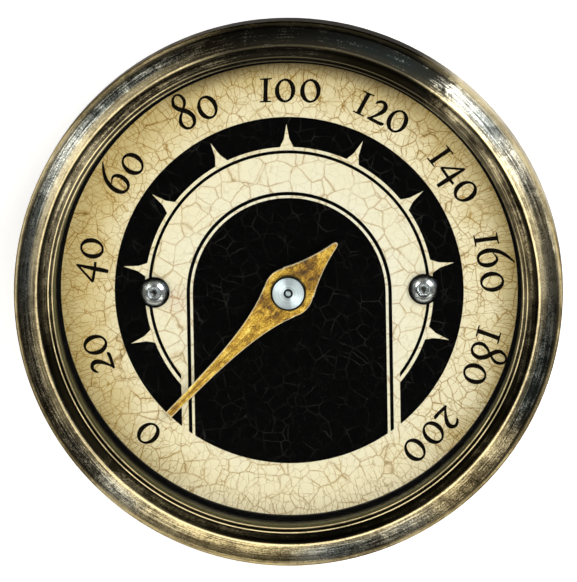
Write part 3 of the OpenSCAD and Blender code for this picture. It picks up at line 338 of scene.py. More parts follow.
# dial face: aged cream enamel with a crazed varnish
dialLook = {
    # age of the varnish, from the fresh middle to the browned rim
    "tones": ((0.0, "#e9e7d8"), (0.42, "#e6e0c5"), (0.74, "#e5dab4"), (0.86, "#d1c08e"), (0.97, "#c4af75")),
    "middle": (1.9, -2.6, 0), "stretch": (1.11, 1, 0),   # mm and shares: the ageing is uneven, least at the bottom
    "ages": (9, 45),                     # mm from the middle where it starts and ends
    "cloud": 6.25, "cloudPush": 14,      # mm: clouds of this size push it in and out
    # the last two tones are painted shade: a black edge for the gap round the dial, and the lip's shadow on the rim
    "crack": "#6e4f02", "fineCrack": "#9a740a", "rust": "#8c3d0b", "edge": "#171309", "paintedLipShadow": "#4d3d1c",
    "radius": 33.4,                      # mm
    "largeCell": 2.7, "smallCell": 1.3,  # mm between the long cracks, and between the fine ones
    "rimCell": 0.8,                      # mm between the short cracks at the edge
    "rimLength": (1.0, 6.5),             # mm, shortest and longest of them
    "rimBend": (0.45, 2.2),              # bends per mm, and how far they go, in cracks
    "crackWidth": 0.055,                 # mm, half of a crack with its soft sides
    "longShare": (20, 26, 0.65), "fineShare": (21, 27, 0.3),   # mm where they gain strength, and their share inside
    "dirt": (0.84, -0.35),               # how full of dirt the cracks are, and the change within the painted light at the bottom
    "seep": "#b98a1c", "seepWidth": 3.4, "seepShare": 0.34,   # the browned varnish beside the long cracks
    "stain": (-16.3, -0.9, 0), "stainSize": (1.2, 3.0), "stainShare": 0.12,   # mm: rust by the left screw
    "paintedLipShadowAreas": ((88, 30, 1.0),), "paintedLipShadowFrom": 31.4, "paintedLipShadowShare": 0.85,    # painted shadow of the lip on the rim at the top
    "paintedLight": "#fdf0c8", "paintedLightAreas": ((274, 36, 0.8),), "paintedLightFrom": (28.5, 32.5),   # painted light on the rim at the bottom, against the bezel's shade there
    "shadeEdgeCentre": (0.02, 0.22, 0), "shadeEdgeWidth": 0.06,       # mm: a painted black edge, shade of the gap round the dial, shows at the bottom only
}


def crackLines(tree, place, cell, width, warp):
    # 1 on the edges of a cracked varnish's cells, which are warped so that no crack is straight, and fainter in places
    bent = addNode(tree, "TexNoise", {"Vector": place, "Scale": 0.6 / cell, "Detail": 3, "Roughness": 0.6})
    moved = addNode(tree, "VectorMath", [place, offsets(tree, bent, warp * cell)], operation="ADD")
    cells = addNode(tree, "TexVoronoi", {"Vector": moved, "Scale": 1 / cell}, feature="DISTANCE_TO_EDGE")
    line = addNode(tree, "MapRange", [cells, 0.2 * width / cell, width / cell, 1, 0])
    patchy = addNode(tree, "TexNoise", {"Vector": place, "Scale": 0.7 / cell, "Detail": 2})
    patchy = addNode(tree, "MapRange", [patchy, 0.36, 0.56, 0.35])
    return addNode(tree, "Math", [line, patchy], operation="MULTIPLY")


def edgeCracks(tree, place, radius, look):
    # 1 on cracks that run in from the rim, each to a depth of its own; a column is one crack's share of the rim
    parts = addNode(tree, "SeparateXYZ", {0: place}).outputs
    column = addNode(tree, "Math", [parts["Y"], parts["X"]], operation="ARCTAN2")
    column = addNode(tree, "Math", [column, look["radius"] / look["rimCell"]], operation="MULTIPLY")
    bend = addNode(tree, "TexNoise", {"Vector": place, "Scale": look["rimBend"][0], "Detail": 3})
    column = addNode(tree, "Math", [bend, look["rimBend"][1], column], operation="MULTIPLY_ADD")
    cells = addNode(tree, "TexVoronoi", {"W": column, "Scale": 1}, voronoi_dimensions="1D", feature="DISTANCE_TO_EDGE")
    width = look["crackWidth"] / look["rimCell"]
    line = addNode(tree, "MapRange", [cells, 0.2 * width, width, 1, 0])
    depth = addNode(tree, "TexNoise", {"W": column, "Scale": 0.9, "Detail": 2}, noise_dimensions="1D")
    depth = addNode(tree, "MapRange", [depth, 0.36, 0.66, *look["rimLength"]])
    reached = addNode(tree, "Math", [radius, depth], operation="ADD")
    reached = addNode(tree, "MapRange", [reached, look["radius"], look["radius"] + 0.6])
    return addNode(tree, "Math", [line, reached], operation="MULTIPLY")


# craquelure: a brittle varnish over cream paint shrank and split, and dirt filled the splits
crazedEnamel, tree, shader, millimetres = newFinish("crazed cream enamel")
radius, bearingPoint = roundPlace(tree, millimetres)
flatPlace = addNode(tree, "VectorMath", [millimetres, (1, 1, 0)], operation="MULTIPLY")
clouds = addNode(tree, "TexNoise", {
    "Vector": flatPlace, "Scale": 1 / dialLook["cloud"], "Detail": 4, "Roughness": 0.6})
fromMiddle = addNode(tree, "VectorMath", [millimetres, dialLook["stretch"]], operation="MULTIPLY")
fromMiddle = addNode(tree, "VectorMath", [fromMiddle, dialLook["middle"]], operation="DISTANCE")
clouded = addNode(tree, "Math", [clouds, dialLook["cloudPush"], fromMiddle], operation="MULTIPLY_ADD")
age = addNode(tree, "MapRange", [clouded, *dialLook["ages"]])
# painted light: the rim at the bottom is lightened against the bezel's shade
paintedLightSide = stretches(tree, bearingPoint, dialLook["paintedLightAreas"])
paintedLightRim = addNode(tree, "MapRange", [radius, *dialLook["paintedLightFrom"]])
paintedLightRim = addNode(tree, "Math", [paintedLightRim, paintedLightSide], operation="MULTIPLY")
stain = addNode(tree, "VectorMath", [flatPlace, dialLook["stain"]], operation="DISTANCE")
stain = addNode(tree, "MapRange", [stain, *dialLook["stainSize"], 1, 0])
crackWidth = dialLook["crackWidth"]
large = crackLines(tree, flatPlace, dialLook["largeCell"], crackWidth, 0.5)
small = crackLines(tree, flatPlace, dialLook["smallCell"], crackWidth, 0.6)
beside = crackLines(tree, flatPlace, dialLook["largeCell"], crackWidth * dialLook["seepWidth"], 0.5)
rim = edgeCracks(tree, flatPlace, radius, dialLook)
# the middle of the dial has fewer and weaker cracks
fineShare = addNode(tree, "MapRange", [radius, *dialLook["fineShare"]])
fineShare = addNode(tree, "Math", [fineShare, stain], operation="MAXIMUM")
fine = addNode(tree, "Math", [small, fineShare], operation="MULTIPLY")
fine = addNode(tree, "Math", [fine, rim], operation="MAXIMUM")
longShare = addNode(tree, "MapRange", [radius, *dialLook["longShare"]])
deep = addNode(tree, "Math", [large, longShare], operation="MULTIPLY")
deep = addNode(tree, "Math", [addNode(tree, "Math", [rim, 0.5], operation="MULTIPLY"), deep], operation="MAXIMUM")
full, lack = dialLook["dirt"]
dirt = addNode(tree, "Math", [paintedLightSide, lack, full], operation="MULTIPLY_ADD")
# painted shadow of the lip, darkening the rim at the top
paintedLipShadow = addNode(tree, "MapRange", [radius, dialLook["paintedLipShadowFrom"], dialLook["radius"], 0, dialLook["paintedLipShadowShare"]])
paintedLipShadow = addNode(tree, "Math", [paintedLipShadow, stretches(tree, bearingPoint, dialLook["paintedLipShadowAreas"])], operation="MULTIPLY")
# painted shade: a black edge, so the dark gap round the dial looks wider at the bottom
fromCentre = addNode(tree, "VectorMath", [flatPlace, dialLook["shadeEdgeCentre"]], operation="DISTANCE")
edge = addNode(tree, "MapRange", [fromCentre, dialLook["radius"] - dialLook["shadeEdgeWidth"], dialLook["radius"]])
# each layer lies over the ones before it
layers = [(paintedLightRim, dialLook["paintedLight"]),
          (addNode(tree, "Math", [stain, dialLook["stainShare"]], operation="MULTIPLY"), dialLook["rust"]),
          (addNode(tree, "Math", [beside, dialLook["seepShare"]], operation="MULTIPLY"), dialLook["seep"])]
for cracks, tone in ((fine, "fineCrack"), (deep, "crack")):
    filling = addNode(tree, "Mix", {"Factor": stain, "A": dialLook[tone], "B": dialLook["rust"]}, data_type="RGBA")
    layers.append((addNode(tree, "Math", [cracks, dirt], operation="MULTIPLY"), filling))
layers += [(paintedLipShadow, dialLook["paintedLipShadow"]), (edge, dialLook["edge"])]
colour = addNode(tree, "ValToRGB", [age], dialLook["tones"])
for share, tone in layers:
    colour = addNode(tree, "Mix", {"Factor": share, "A": colour, "B": tone}, data_type="RGBA")
split = addNode(tree, "Math", [deep, fine], operation="MAXIMUM")
feed(tree, shader.inputs, {
    "Base Color": colour, "Roughness": 0.5, "Specular IOR Level": 0.2,
    "Normal": addNode(tree, "Bump", {"Height": split, "Strength": 0.5, "Distance": 0.03 * mm}, invert=True)})
dress(crazedEnamel, "dial_face")

# the black print under the same varnish: its cracks are fine grey hairs, with a little dust
inkLook = {
    "black": "#020202", "hair": "#34332f", "dust": "#3c3b37",
    "cell": 2.2, "width": 0.06,   # mm between the hairs, and half of one's width
    "patch": 4, "grain": 0.625,   # mm, size of the patches with more hairs, and between grains of dust
}
crazedInk, tree, shader, millimetres = newFinish("varnished black dial ink")
flatPlace = addNode(tree, "VectorMath", [millimetres, (1, 1, 0)], operation="MULTIPLY")
hairs = crackLines(tree, flatPlace, inkLook["cell"], inkLook["width"], 0.5)
faint = addNode(tree, "TexNoise", {"Vector": flatPlace, "Scale": 1 / inkLook["patch"], "Detail": 2})
faint = addNode(tree, "MapRange", [faint, 0.45, 0.7, 0.04, 0.7])
hairShare = addNode(tree, "Math", [hairs, faint], operation="MULTIPLY")
grains = addNode(tree, "TexVoronoi", {"Vector": flatPlace, "Scale": 1 / inkLook["grain"]}).outputs["Distance"]
dustShare = addNode(tree, "MapRange", [grains, 0.03, 0.07, 0.6, 0])
ink = inkLook["black"]
for share, tone in ((hairShare, "hair"), (dustShare, "dust")):
    ink = addNode(tree, "Mix", {"Factor": share, "A": ink, "B": inkLook[tone]}, data_type="RGBA")
feed(tree, shader.inputs, {
    "Base Color": ink, "Roughness": 0.25, "Specular IOR Level": 0.02,
    "Normal": addNode(tree, "Bump", {"Height": hairs, "Strength": 0.4, "Distance": 0.02 * mm}, invert=True)})
dress(crazedInk, "dial_print")
print("dial dressed")


# numerals: old-style figures, printed round the dial
numerals = {
    "radius": 27.75,         # mm from the axis to the feet of the figures
    "height": 3.52,          # mm, height of a 0
    "count": 11, "first": 225 - 1.1, "step": 27.1,   # degrees from +X
    "shift": (0.06, -0.15),  # mm, the print sits a little low
    "ink": 0.02,             # mm thick
}
# each stroke: (x, y, width) along a broad nib's path, in heights of a 0; the last item is the advance
figures = {
    "1": ([[(0.07, 0.955, 0.05), (0.3, 0.965, 0.075), (0.56, 0.985, 0.05)],
           [(0.31, 0.97, 0.19), (0.3, 0.5, 0.17), (0.3, 0.03, 0.19)],
           [(0.06, 0.012, 0.05), (0.3, 0.03, 0.075), (0.55, 0.04, 0.05)]], 0.68),
    "2": ([[(0.07, 0.72, 0.03), (0.12, 0.81, 0.1), (0.23, 0.9, 0.13), (0.36, 0.92, 0.14), (0.48, 0.84, 0.18),
            (0.52, 0.7, 0.2), (0.46, 0.52, 0.17), (0.32, 0.31, 0.12), (0.17, 0.14, 0.09), (0.06, 0.05, 0.07)],
           [(0.03, 0.055, 0.09), (0.2, 0.07, 0.14), (0.5, 0.07, 0.14), (0.68, 0.09, 0.15), (0.76, 0.15, 0.05)]], 0.78),
    "4": ([[(0.66, 1.0, 0.1), (0.35, 0.62, 0.09), (0.06, 0.26, 0.09)],
           [(0.03, 0.25, 0.06), (0.15, 0.25, 0.12), (0.6, 0.25, 0.12), (0.9, 0.27, 0.11)],
           [(0.66, 1.03, 0.07), (0.63, 0.7, 0.13), (0.61, 0.3, 0.18), (0.6, -0.1, 0.18), (0.59, -0.33, 0.14)]], 1.0),
    "6": ([[(0.76, 1.56, 0.03), (0.6, 1.43, 0.09), (0.37, 1.2, 0.14), (0.2, 0.95, 0.17), (0.11, 0.65, 0.19),
            (0.11, 0.38, 0.19), (0.21, 0.14, 0.15), (0.4, 0.05, 0.1), (0.6, 0.13, 0.14), (0.7, 0.38, 0.19),
            (0.67, 0.65, 0.17), (0.54, 0.82, 0.12), (0.38, 0.81, 0.08), (0.22, 0.7, 0.04)]], 0.98),
    "8": ([[(0.13, 1.2, 0.15), (0.2, 1.03, 0.18), (0.35, 0.87, 0.19), (0.55, 0.68, 0.2), (0.66, 0.42, 0.18),
            (0.58, 0.15, 0.14), (0.37, 0.045, 0.1), (0.17, 0.13, 0.13), (0.08, 0.36, 0.16), (0.16, 0.6, 0.13),
            (0.36, 0.82, 0.09), (0.55, 1.02, 0.12), (0.62, 1.22, 0.14), (0.56, 1.44, 0.11), (0.4, 1.53, 0.08),
            (0.22, 1.43, 0.11), (0.13, 1.2, 0.15)]], 0.93),
}
# the 0 is one closed stroke, thickest low on the left and high on the right
ringSteps = 24
ring = []
for i in range(ringSteps + 1):
    a = 2 * math.pi * i / ringSteps
    ring.append((0.43 + 0.336 * math.cos(a), 0.5 + 0.452 * math.sin(a), 0.142 + 0.052 * math.cos(2 * (a - 0.28))))
figures["0"] = ([ring], 1.05)


def smoothPath(points, steps=5):
    # a curve through the points, as a nib would draw it; the 0 has fine steps already
    if len(points) > ringSteps:
        return [Vector(p) for p in points]
    ends = [Vector(points[0]) * 2 - Vector(points[1])] + [Vector(p) for p in points]
    ends.append(Vector(points[-1]) * 2 - Vector(points[-2]))
    path = []
    for i in range(1, len(ends) - 2):
        a, b, c, d = ends[i - 1:i + 3]
        for k in range(steps):
            t = k / steps
            path.append(0.5 * (2 * b + (c - a) * t + (2 * a - 5 * b + 4 * c - d) * t * t
                               + (3 * b - a - 3 * c + d) * t * t * t))
    path.append(ends[-2])
    return path


def strokeQuads(points):
    # the stroke's flat pieces, as wide as the nib at each point
    path = smoothPath(points)
    closed = (path[0] - path[-1]).length < 0.001
    sides = []
    for i, point in enumerate(path):
        before = path[i - 1] if i else (path[-2] if closed else path[0])
        after = path[i + 1] if i + 1 < len(path) else (path[1] if closed else path[-1])
        along = Vector((after.x - before.x, after.y - before.y)).normalized()
        across = Vector((-along.y, along.x)) * point.z / 2
        centre = Vector((point.x, point.y))
        sides.append((centre + across, centre - across))
    return [(a[0], a[1], b[1], b[0]) for a, b in zip(sides, sides[1:])]


def printNumber(number, bearing):
    # one flat outline per number: overlapping strokes are merged before they get their thickness
    size = numerals["height"]
    width = sum(figures[c][1] for c in number)
    quads, pen = [], -width / 2
    for character in number:
        strokes, advance = figures[character]
        for stroke in strokes:
            for quad in strokeQuads(stroke):
                quads.append([(v + Vector((pen, 0))) * size for v in quad])
        pen += advance
    points = [v for quad in quads for v in quad]
    faces = [[4 * i + k for k in range(4)] for i in range(len(quads))]
    flat, _, triangles, _, _, owners = geometry.delaunay_2d_cdt(points, [], faces, 1, 1e-5)
    triangles = [triangle for triangle, owner in zip(triangles, owners) if owner]  # drops the counters
    a = math.radians(bearing)
    outward, right = Vector((math.cos(a), math.sin(a))), Vector((math.sin(a), -math.cos(a)))
    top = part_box("dial_face")[1].z
    shape = bmesh.new()
    corners = []
    for v in flat:
        spot = outward * (numerals["radius"] + v.y) + right * v.x + Vector(numerals["shift"])
        corners.append(shape.verts.new((spot.x * mm, spot.y * mm, top)))
    for triangle in triangles:
        shape.faces.new([corners[i] for i in triangle])
    loose = [v for v in shape.verts if not v.link_faces]
    bmesh.ops.delete(shape, geom=loose, context="VERTS")
    bmesh.ops.dissolve_limit(shape, angle_limit=0.01, verts=shape.verts, edges=shape.edges)
    bmesh.ops.triangulate(shape, faces=shape.faces)
    raised = bmesh.ops.extrude_face_region(shape, geom=shape.faces[:])
    lifted = [g for g in raised["geom"] if isinstance(g, bmesh.types.BMVert)]
    bmesh.ops.translate(shape, verts=lifted, vec=(0, 0, numerals["ink"] * mm))
    bmesh.ops.recalc_face_normals(shape, faces=shape.faces)
    mesh = bpy.data.meshes.new("numeral_" + number)
    shape.to_mesh(mesh)
    shape.free()
    piece = bpy.data.objects.new("numeral_" + number, mesh)
    bpy.context.scene.collection.objects.link(piece)
    mesh.materials.append(figureInk)
    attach(piece, "gauge")


# screen-printed figures: a warm black that the years have thinned a little in places
figureInk, tree, shader, millimetres = newFinish("screen printed brown-black ink")
thin = addNode(tree, "TexNoise", {"Vector": millimetres, "Scale": 1.4, "Detail": 4, "Roughness": 0.7})   # per mm
feed(tree, shader.inputs, {
    "Base Color": addNode(tree, "ValToRGB", [thin], [(0.4, "#070503"), (0.85, "#1a120a")]),
    "Roughness": 0.3, "Specular IOR Level": 0.02})
for i in range(numerals["count"]):
    printNumber(str(20 * i), numerals["first"] - numerals["step"] * i)
print("numerals printed")


# pointer: aged brass leaf
pointerLook = {
    "tones": ((0.0, "#3f2806"), (0.35, "#835f10"), (0.6, "#b48f2c"), (0.95, "#dfc263")),
    # the edge tone is a painted highlight on the bevel
    "edge": "#fff3cc", "groove": "#5d3a0e",
    "bearing": 225,                   # degrees from +X to the tip
    "streak": (0.32, 1.5, 1),         # marks per mm along the leaf and across it
    "blotch": 1.1, "grain": 0.2,      # mm
    "grainShare": 0.6, "streakShare": 0.8, "mottling": (0.9, 1.48),
    "burnt": ((-4.3, 2.6, 0.2), (3.9, 1.8, 0.12)),   # mm along the leaf, half length and strength of the brown areas
    "grooveWidth": (0.05, 0.2), "grooveFrom": (6, 12),   # mm from the leaf's middle line, and from the axis
    "bevel": 0.15, "hubRadius": 3.2,  # mm: the edges inside hubRadius lie under the cap and stay sharp
}
# cut brass sheet with a heat-darkened varnish: golden with brown mottling, and a painted highlight along its bevelled
# edges
agedBrass, tree, shader, millimetres = newFinish("heat-browned brass sheet")
a = math.radians(pointerLook["bearing"])
along = addNode(tree, "VectorMath", [millimetres, (math.cos(a), math.sin(a), 0)], operation="DOT_PRODUCT")
aside = addNode(tree, "VectorMath", [millimetres, (-math.sin(a), math.cos(a), 0)], operation="DOT_PRODUCT")
leafPlace = addNode(tree, "VectorMath", [
    addNode(tree, "CombineXYZ", {"X": along, "Y": aside}), pointerLook["streak"]], operation="MULTIPLY")
streaks = addNode(tree, "TexNoise", {
    "Vector": leafPlace, "Scale": 1, "Detail": 4, "Roughness": 0.7, "Distortion": 0.5})
blotches = addNode(tree, "TexNoise", {
    "Vector": millimetres, "Scale": 1 / pointerLook["blotch"], "Detail": 5, "Roughness": 0.7, "Distortion": 0.4})
grain = addNode(tree, "TexNoise", {"Vector": millimetres, "Scale": 1 / pointerLook["grain"], "Detail": 2})
mixed = addNode(tree, "Math", [grain, pointerLook["grainShare"], blotches], operation="MULTIPLY_ADD")
mixed = addNode(tree, "Math", [streaks, pointerLook["streakShare"], mixed], operation="MULTIPLY_ADD")
for spot, halfLength, strength in pointerLook["burnt"]:
    away = addNode(tree, "Math", [along, spot], operation="SUBTRACT")
    away = addNode(tree, "Math", [away], operation="ABSOLUTE")
    darker = addNode(tree, "MapRange", [away, 0.2 * halfLength, halfLength, -strength, 0])
    mixed = addNode(tree, "Math", [mixed, darker], operation="ADD")
skin = addNode(tree, "ValToRGB", [addNode(tree, "MapRange", [mixed, *pointerLook["mottling"]])], pointerLook["tones"])
groove = addNode(tree, "Math", [aside], operation="ABSOLUTE")
groove = addNode(tree, "MapRange", [groove, *pointerLook["grooveWidth"], 0.7, 0])
outward = addNode(tree, "MapRange", [along, *pointerLook["grooveFrom"]])
groove = addNode(tree, "Math", [groove, outward], operation="MULTIPLY")
# painted highlight on the bevel's sloping faces
edge = addNode(tree, "MapRange", [facingUp(tree), 0.8, 0.97, 1, 0])
for share, tone in ((groove, "groove"), (edge, "edge")):
    skin = addNode(tree, "Mix", {"Factor": share, "A": skin, "B": pointerLook[tone]}, data_type="RGBA")
feed(tree, shader.inputs, {
    "Base Color": skin, "Metallic": 0.6, "Roughness": 0.4,
    "Normal": addNode(tree, "Bump", {"Height": grain, "Strength": 0.35, "Distance": 0.03 * mm})})


def bevelledLeaf(source, width):
    # the CAD leaf with its upper outline broken, as cutting and polishing leave it
    shape = bmesh.new()
    shape.from_mesh(source.data)
    bmesh.ops.remove_doubles(shape, verts=shape.verts, dist=1e-7)
    bmesh.ops.dissolve_limit(shape, angle_limit=0.01, verts=shape.verts, edges=shape.edges)
    top = max(v.co.z for v in shape.verts)
    outline = []
    for edge in shape.edges:
        high = all(v.co.z > top - 1e-6 and v.co.xy.length > pointerLook["hubRadius"] * mm for v in edge.verts)
        levels = sorted(abs(face.normal.z) for face in edge.link_faces)
        if high and len(levels) == 2 and levels[0] < 0.1 and levels[1] > 0.9:
            outline.append(edge)
    bmesh.ops.bevel(shape, geom=outline, offset=width * mm, segments=2, profile=0.5, affect="EDGES")
    mesh = bpy.data.meshes.new("pointer_leaf")
    shape.to_mesh(mesh)
    shape.free()
    leaf = bpy.data.objects.new("pointer_leaf", mesh)
    bpy.context.scene.collection.objects.link(leaf)
    return leaf


pointerLeaf = bevelledLeaf(nodes["pointer"], pointerLook["bevel"])
pointerLeaf.data.materials.clear()
pointerLeaf.data.materials.append(agedBrass)
dress(agedBrass, "pointer")
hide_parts("pointer")
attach(pointerLeaf, "pointer_unit")

# turned aluminium: fine rings give the light a bow-tie sheen
# painted shade darkens the groove round the pip and the chamfer: the profile's positions are shares of the radius
capLook = {
    "radius": 2.55, "rings": 6,   # mm, and turned rings per mm, coarse enough to show
    "profile": ((0.0, "#d9dcdc"), (0.13, "#c9cccc"), (0.17, "#26282a"), (0.25, "#26282a"), (0.3, "#ffffff"),
                (0.86, "#ffffff"), (0.91, "#5d6264"), (1.0, "#2c2f30")),
    "tones": ((0.35, "#aab5b9"), (0.7, "#d9e3e6")),
}
turnedAluminium, tree, shader, millimetres = newFinish("turned aluminium")
radius = roundPlace(tree, millimetres)[0]
rings = addNode(tree, "TexNoise", {"W": radius, "Scale": capLook["rings"], "Detail": 2}, noise_dimensions="1D")
ringTone = addNode(tree, "ValToRGB", [rings], capLook["tones"])
profile = addNode(tree, "Math", [radius, capLook["radius"]], operation="DIVIDE")
profile = addNode(tree, "ValToRGB", [profile], capLook["profile"])
feed(tree, shader.inputs, {
    "Base Color": addNode(tree, "Mix", {
        "Factor": 1.0, "A": ringTone, "B": profile}, data_type="RGBA", blend_type="MULTIPLY"),
    "Metallic": 1.0, "Roughness": 0.3, "Anisotropic": 0.75,
    "Tangent": addNode(tree, "Tangent", direction_type="RADIAL", axis="Z"),
    "Normal": addNode(tree, "Bump", {"Height": rings, "Strength": 0.12, "Distance": 0.02 * mm})})
dress(turnedAluminium, "pointer_cap")
print("pointer dressed")


# lens, inner rim and the parts inside
# float glass: clear, so lamps reach the dial and only a faint reflection shows
lensGlass, tree, shader, millimetres = newFinish("clear mineral glass")
waves = addNode(tree, "TexNoise", {"Vector": millimetres, "Scale": 0.06, "Detail": 2})   # some 17 mm long
feed(tree, shader.inputs, {
    "Base Color": "#fbfdfc", "Roughness": 0.0, "IOR": 1.5, "Transmission Weight": 1.0,
    "Normal": addNode(tree, "Bump", {"Height": waves, "Strength": 0.02, "Distance": 0.02 * mm})})
rays = addNode(tree, "LightPath").outputs
passes = addNode(tree, "Math", [rays["Is Shadow Ray"], rays["Is Diffuse Ray"]], operation="MAXIMUM")
pane = addNode(tree, "MixShader", {0: passes, 1: shader, 2: addNode(tree, "BsdfTransparent")})
feed(tree, tree.nodes["Material Output"].inputs, {"Surface": pane})
dress(lensGlass, "lens")


def paintedMetal(name, dark, pale, metallic, roughness, grain, strength, specular=0.5):
    # a coat or oxide over metal: two near tones in clouds of 3 mm, with an orange-peel or blast texture of real size
    material, tree, shader, millimetres = newFinish(name)
    spread = addNode(tree, "TexNoise", {"Vector": millimetres, "Scale": 0.35, "Detail": 4, "Roughness": 0.65})
    fine = addNode(tree, "TexNoise", {"Vector": millimetres, "Scale": 1 / grain, "Detail": 2})
    both = addNode(tree, "Math", [fine, 0.4, spread], operation="MULTIPLY_ADD")
    both = addNode(tree, "MapRange", [both, 0.45, 0.95])
    feed(tree, shader.inputs, {
        "Base Color": addNode(tree, "ValToRGB", [both], [(0.1, dark), (0.9, pale)]),
        "Metallic": metallic, "Specular IOR Level": specular,
        "Roughness": addNode(tree, "MapRange", [spread, 0.3, 0.7, roughness - 0.06, roughness + 0.08]),
        "Normal": addNode(tree, "Bump", {"Height": fine, "Strength": strength, "Distance": 0.03 * mm})})
    return material


def mouldedResin(name, dark, pale, roughness, grain, strength):
    # injection-moulded plastic: nearly even colour in clouds of 7 mm, a spark-eroded mould's fine grain and soft gloss
    material, tree, shader, millimetres = newFinish(name)
    fine = addNode(tree, "TexNoise", {"Vector": millimetres, "Scale": 1 / grain, "Detail": 3, "Roughness": 0.6})
    spread = addNode(tree, "TexNoise", {"Vector": millimetres, "Scale": 0.15, "Detail": 2})
    both = addNode(tree, "Math", [fine, 0.3, spread], operation="MULTIPLY_ADD")
    both = addNode(tree, "MapRange", [both, 0.4, 0.9])
    feed(tree, shader.inputs, {
        "Base Color": addNode(tree, "ValToRGB", [both], [(0.1, dark), (0.9, pale)]),
        "Roughness": roughness, "IOR": 1.53,
        "Normal": addNode(tree, "Bump", {"Height": fine, "Strength": strength, "Distance": 0.03 * mm})})
    return material


# olive ring under the lens: black at its foot, where no light gets in, and olive towards the glass
ringLook = {
    "heights": (29.2, 33.4),   # mm over the back
    "cloud": 2, "cloudPush": 0.5,   # mm: clouds of this size push the tones up and down
    "tones": ((0.42, "#040403"), (0.62, "#24220f"), (0.82, "#3b381e"), (0.98, "#57522f")),
}
oliveRing, tree, shader, millimetres = newFinish("olive lacquered ring")
height = addNode(tree, "SeparateXYZ", {0: millimetres}).outputs["Z"]
spread = addNode(tree, "TexNoise", {"Vector": millimetres, "Scale": 1 / ringLook["cloud"], "Detail": 4})
height = addNode(tree, "Math", [spread, ringLook["cloudPush"], height], operation="MULTIPLY_ADD")
height = addNode(tree, "MapRange", [height, *ringLook["heights"]])
feed(tree, shader.inputs, {
    "Base Color": addNode(tree, "ValToRGB", [height], ringLook["tones"]),
    "Roughness": 0.4, "Specular IOR Level": 0.25,
    "Normal": addNode(tree, "Bump", {"Height": spread, "Strength": 0.1, "Distance": 0.03 * mm})})
dress(oliveRing, "spacer_ring")

# finish, dark and pale tone, metallic, roughness, grain in mm and its strength; then the nodes
# blasted and moulded grains of 0.05 to 0.1 mm are drawn 2 to 4 times as coarse, or they wouldn't show
metals = (
    (("black lacquered plate", "#030303", "#070706", 0.0, 0.5, 0.4, 0.15, 0.03), "dial_plate"),
    (("black anodised aluminium", "#222221", "#2f2e2b", 0.75, 0.45, 0.22, 0.2), "housing"),
    (("blasted dark aluminium", "#40403c", "#504f4a", 0.8, 0.55, 0.2, 0.35), "rear_cover"),
    (("zinc plated steel", "#a9adae", "#cfd3d3", 1.0, 0.3, 0.3, 0.08),
     "standoff_screws", "board_screws", "cover_screws", "connector_nut"),
    (("turned brass bar", "#a5843a", "#cfae5c", 1.0, 0.28, 0.3, 0.08), "standoffs", "idler_pinion", "rotor_pinion"),
    (("ground steel rod", "#9fa3a6", "#c9cdd0", 1.0, 0.22, 0.15, 0.06), "output_shaft"),
    (("punched soft iron", "#6f7377", "#949a9f", 1.0, 0.4, 0.25, 0.15), "stator"),
    (("sintered ferrite", "#3a3a3d", "#565659", 0.3, 0.6, 0.12, 0.3), "rotor_magnet"),
    (("tinned brass pin", "#c3c5c2", "#e2e4e1", 1.0, 0.3, 0.2, 0.06), "motor_pins"),
    (("gold plated contact", "#c9a24a", "#e6c778", 1.0, 0.22, 0.2, 0.05), "connector_pins"),
    (("nickel crystal can", "#b4b8ba", "#d6dadb", 1.0, 0.25, 0.3, 0.06), "crystal"),
    (("sleeved aluminium can", "#2f3a58", "#46557c", 0.2, 0.35, 0.4, 0.05), "capacitor"),
)
for finish, *names in metals:
    dress(paintedMetal(*finish), *names)
# finish, dark and pale tone, roughness, grain in mm and its strength; then the nodes
resins = (
    (("black moulded polyamide", "#141516", "#232527", 0.45, 0.12, 0.25), "connector_body", "pointer_hub"),
    (("grey motor resin", "#1f2427", "#30373b", 0.5, 0.14, 0.25), "motor_front_case", "motor_rear_case"),
    (("natural acetal", "#d9d5c6", "#efecdf", 0.38, 0.1, 0.1), "output_wheel", "idler_wheel"),
    (("cream bobbin polyester", "#d3ccb6", "#e9e3cf", 0.45, 0.12, 0.15), "coil_bobbins"),
    (("white display frame", "#d8d8d2", "#efefe9", 0.5, 0.14, 0.15), "display_frame"),
    (("frosted light guide", "#e4e6e0", "#f7f8f4", 0.3, 0.2, 0.1), "light_guide"),
    (("lamp resin", "#e6dca4", "#f6f0cc", 0.25, 0.1, 0.05), "backlight_leds"),
    (("black chip epoxy", "#17181a", "#292b2e", 0.6, 0.08, 0.3), "processor", "regulator", "chip_resistors"),
    (("black rubber", "#0f0f0f", "#1e1e1e", 0.8, 0.15, 0.3), "lens_seal", "cover_seal", "contact_strips"),
    (("unlit display cell", "#1e241a", "#2e3627", 0.12, 0.5, 0.02), "display_glass"),
)
for finish, *names in resins:
    dress(mouldedResin(*finish), *names)

# polished button heads with painted reflections: painted shade in the socket and round the dome's foot, where the room
# mirrored in them is dark, and painted bright rings between
screwLook = {
    "apart": 19.7, "head": 2.25,   # mm: each screw's distance from the middle, and its head's radius
    # the rings are painted reflections: dark socket, bright rings on the dome, dark foot
    "rings": ((0.0, "#4c4a47"), (0.14, "#5c5a56"), (0.22, "#b9bdbe"), (0.4, "#e6e9ea"), (0.45, "#1f2021"),
              (0.5, "#c3c7c7"), (0.7, "#dfe2e2"), (0.82, "#606465"), (0.91, "#242628"), (1.0, "#141516")),
    "roughness": (0.14, 0.28), "scratches": 3.5,   # scratches per mm
}
buttonHead, tree, shader, millimetres = newFinish("polished stainless button head")
parts = addNode(tree, "SeparateXYZ", {0: millimetres}).outputs
aside = addNode(tree, "Math", [parts["X"]], operation="ABSOLUTE")   # both heads at once, mirrored
aside = addNode(tree, "Math", [aside, screwLook["apart"]], operation="SUBTRACT")
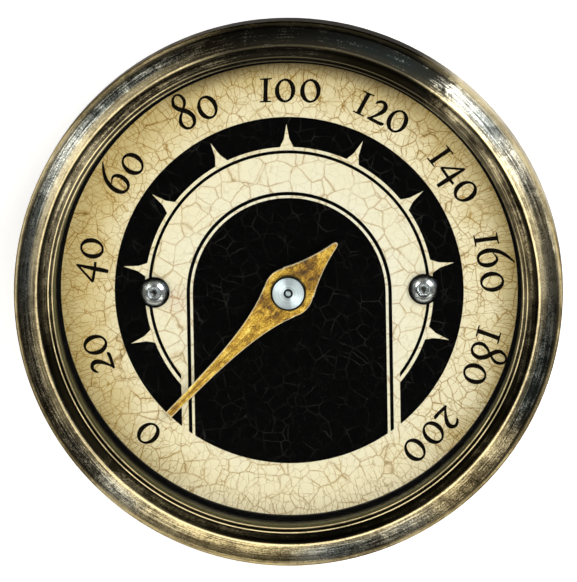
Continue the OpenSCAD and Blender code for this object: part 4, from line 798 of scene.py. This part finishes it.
fromAxis = addNode(tree, "CombineXYZ", {"X": aside, "Y": parts["Y"]})
fromAxis = addNode(tree, "VectorMath", [fromAxis], operation="LENGTH")
fromAxis = addNode(tree, "Math", [fromAxis, screwLook["head"]], operation="DIVIDE")
scratches = addNode(tree, "TexNoise", {"Vector": millimetres, "Scale": screwLook["scratches"], "Detail": 3})
feed(tree, shader.inputs, {
    "Base Color": addNode(tree, "ValToRGB", [fromAxis], screwLook["rings"]), "Metallic": 1.0,
    "Roughness": addNode(tree, "MapRange", [scratches, 0, 1, *screwLook["roughness"]]),
    "Normal": addNode(tree, "Bump", {"Height": scratches, "Strength": 0.08, "Distance": 0.02 * mm})})
dress(buttonHead, "dial_screws")

# enamelled copper wire, wound in even turns that catch the light one by one
coilLook = {"pitch": 0.1006, "tones": ((0.1, "#6b2f12"), (0.8, "#c9743a"))}   # mm from turn to turn
copperWire, tree, shader, millimetres = newFinish("wound copper wire")
waveScale = math.tau / 20 / coilLook["pitch"]   # at scale 1 a wave texture's bands are tau / 20 apart
turns = addNode(tree, "TexWave", {"Vector": millimetres, "Scale": waveScale, "Distortion": 0.3}, bands_direction="Y")
feed(tree, shader.inputs, {
    "Base Color": addNode(tree, "ValToRGB", [turns], coilLook["tones"]), "Metallic": 0.85, "Roughness": 0.35,
    "Normal": addNode(tree, "Bump", {"Height": turns, "Strength": 0.6, "Distance": 0.05 * mm})})
dress(copperWire, "coil_windings")

# glass-epoxy board: green mask over a faint weave of 0.5 mm yarns
boardMask, tree, shader, millimetres = newFinish("green masked glass epoxy")
weave = addNode(tree, "TexBrick", {
    "Vector": millimetres, "Scale": 1, "Mortar Size": 0.06, "Brick Width": 1.0, "Row Height": 0.5,
    "Color1": "#1d4f36", "Color2": "#22593d", "Mortar": "#17422d"})
feed(tree, shader.inputs, {
    "Base Color": weave, "Roughness": 0.3, "Coat Weight": 0.4,
    "Normal": addNode(tree, "Bump", {"Height": weave.outputs["Fac"], "Strength": 0.15, "Distance": 0.03 * mm})})
dress(boardMask, "main_board")
print("inner parts dressed")
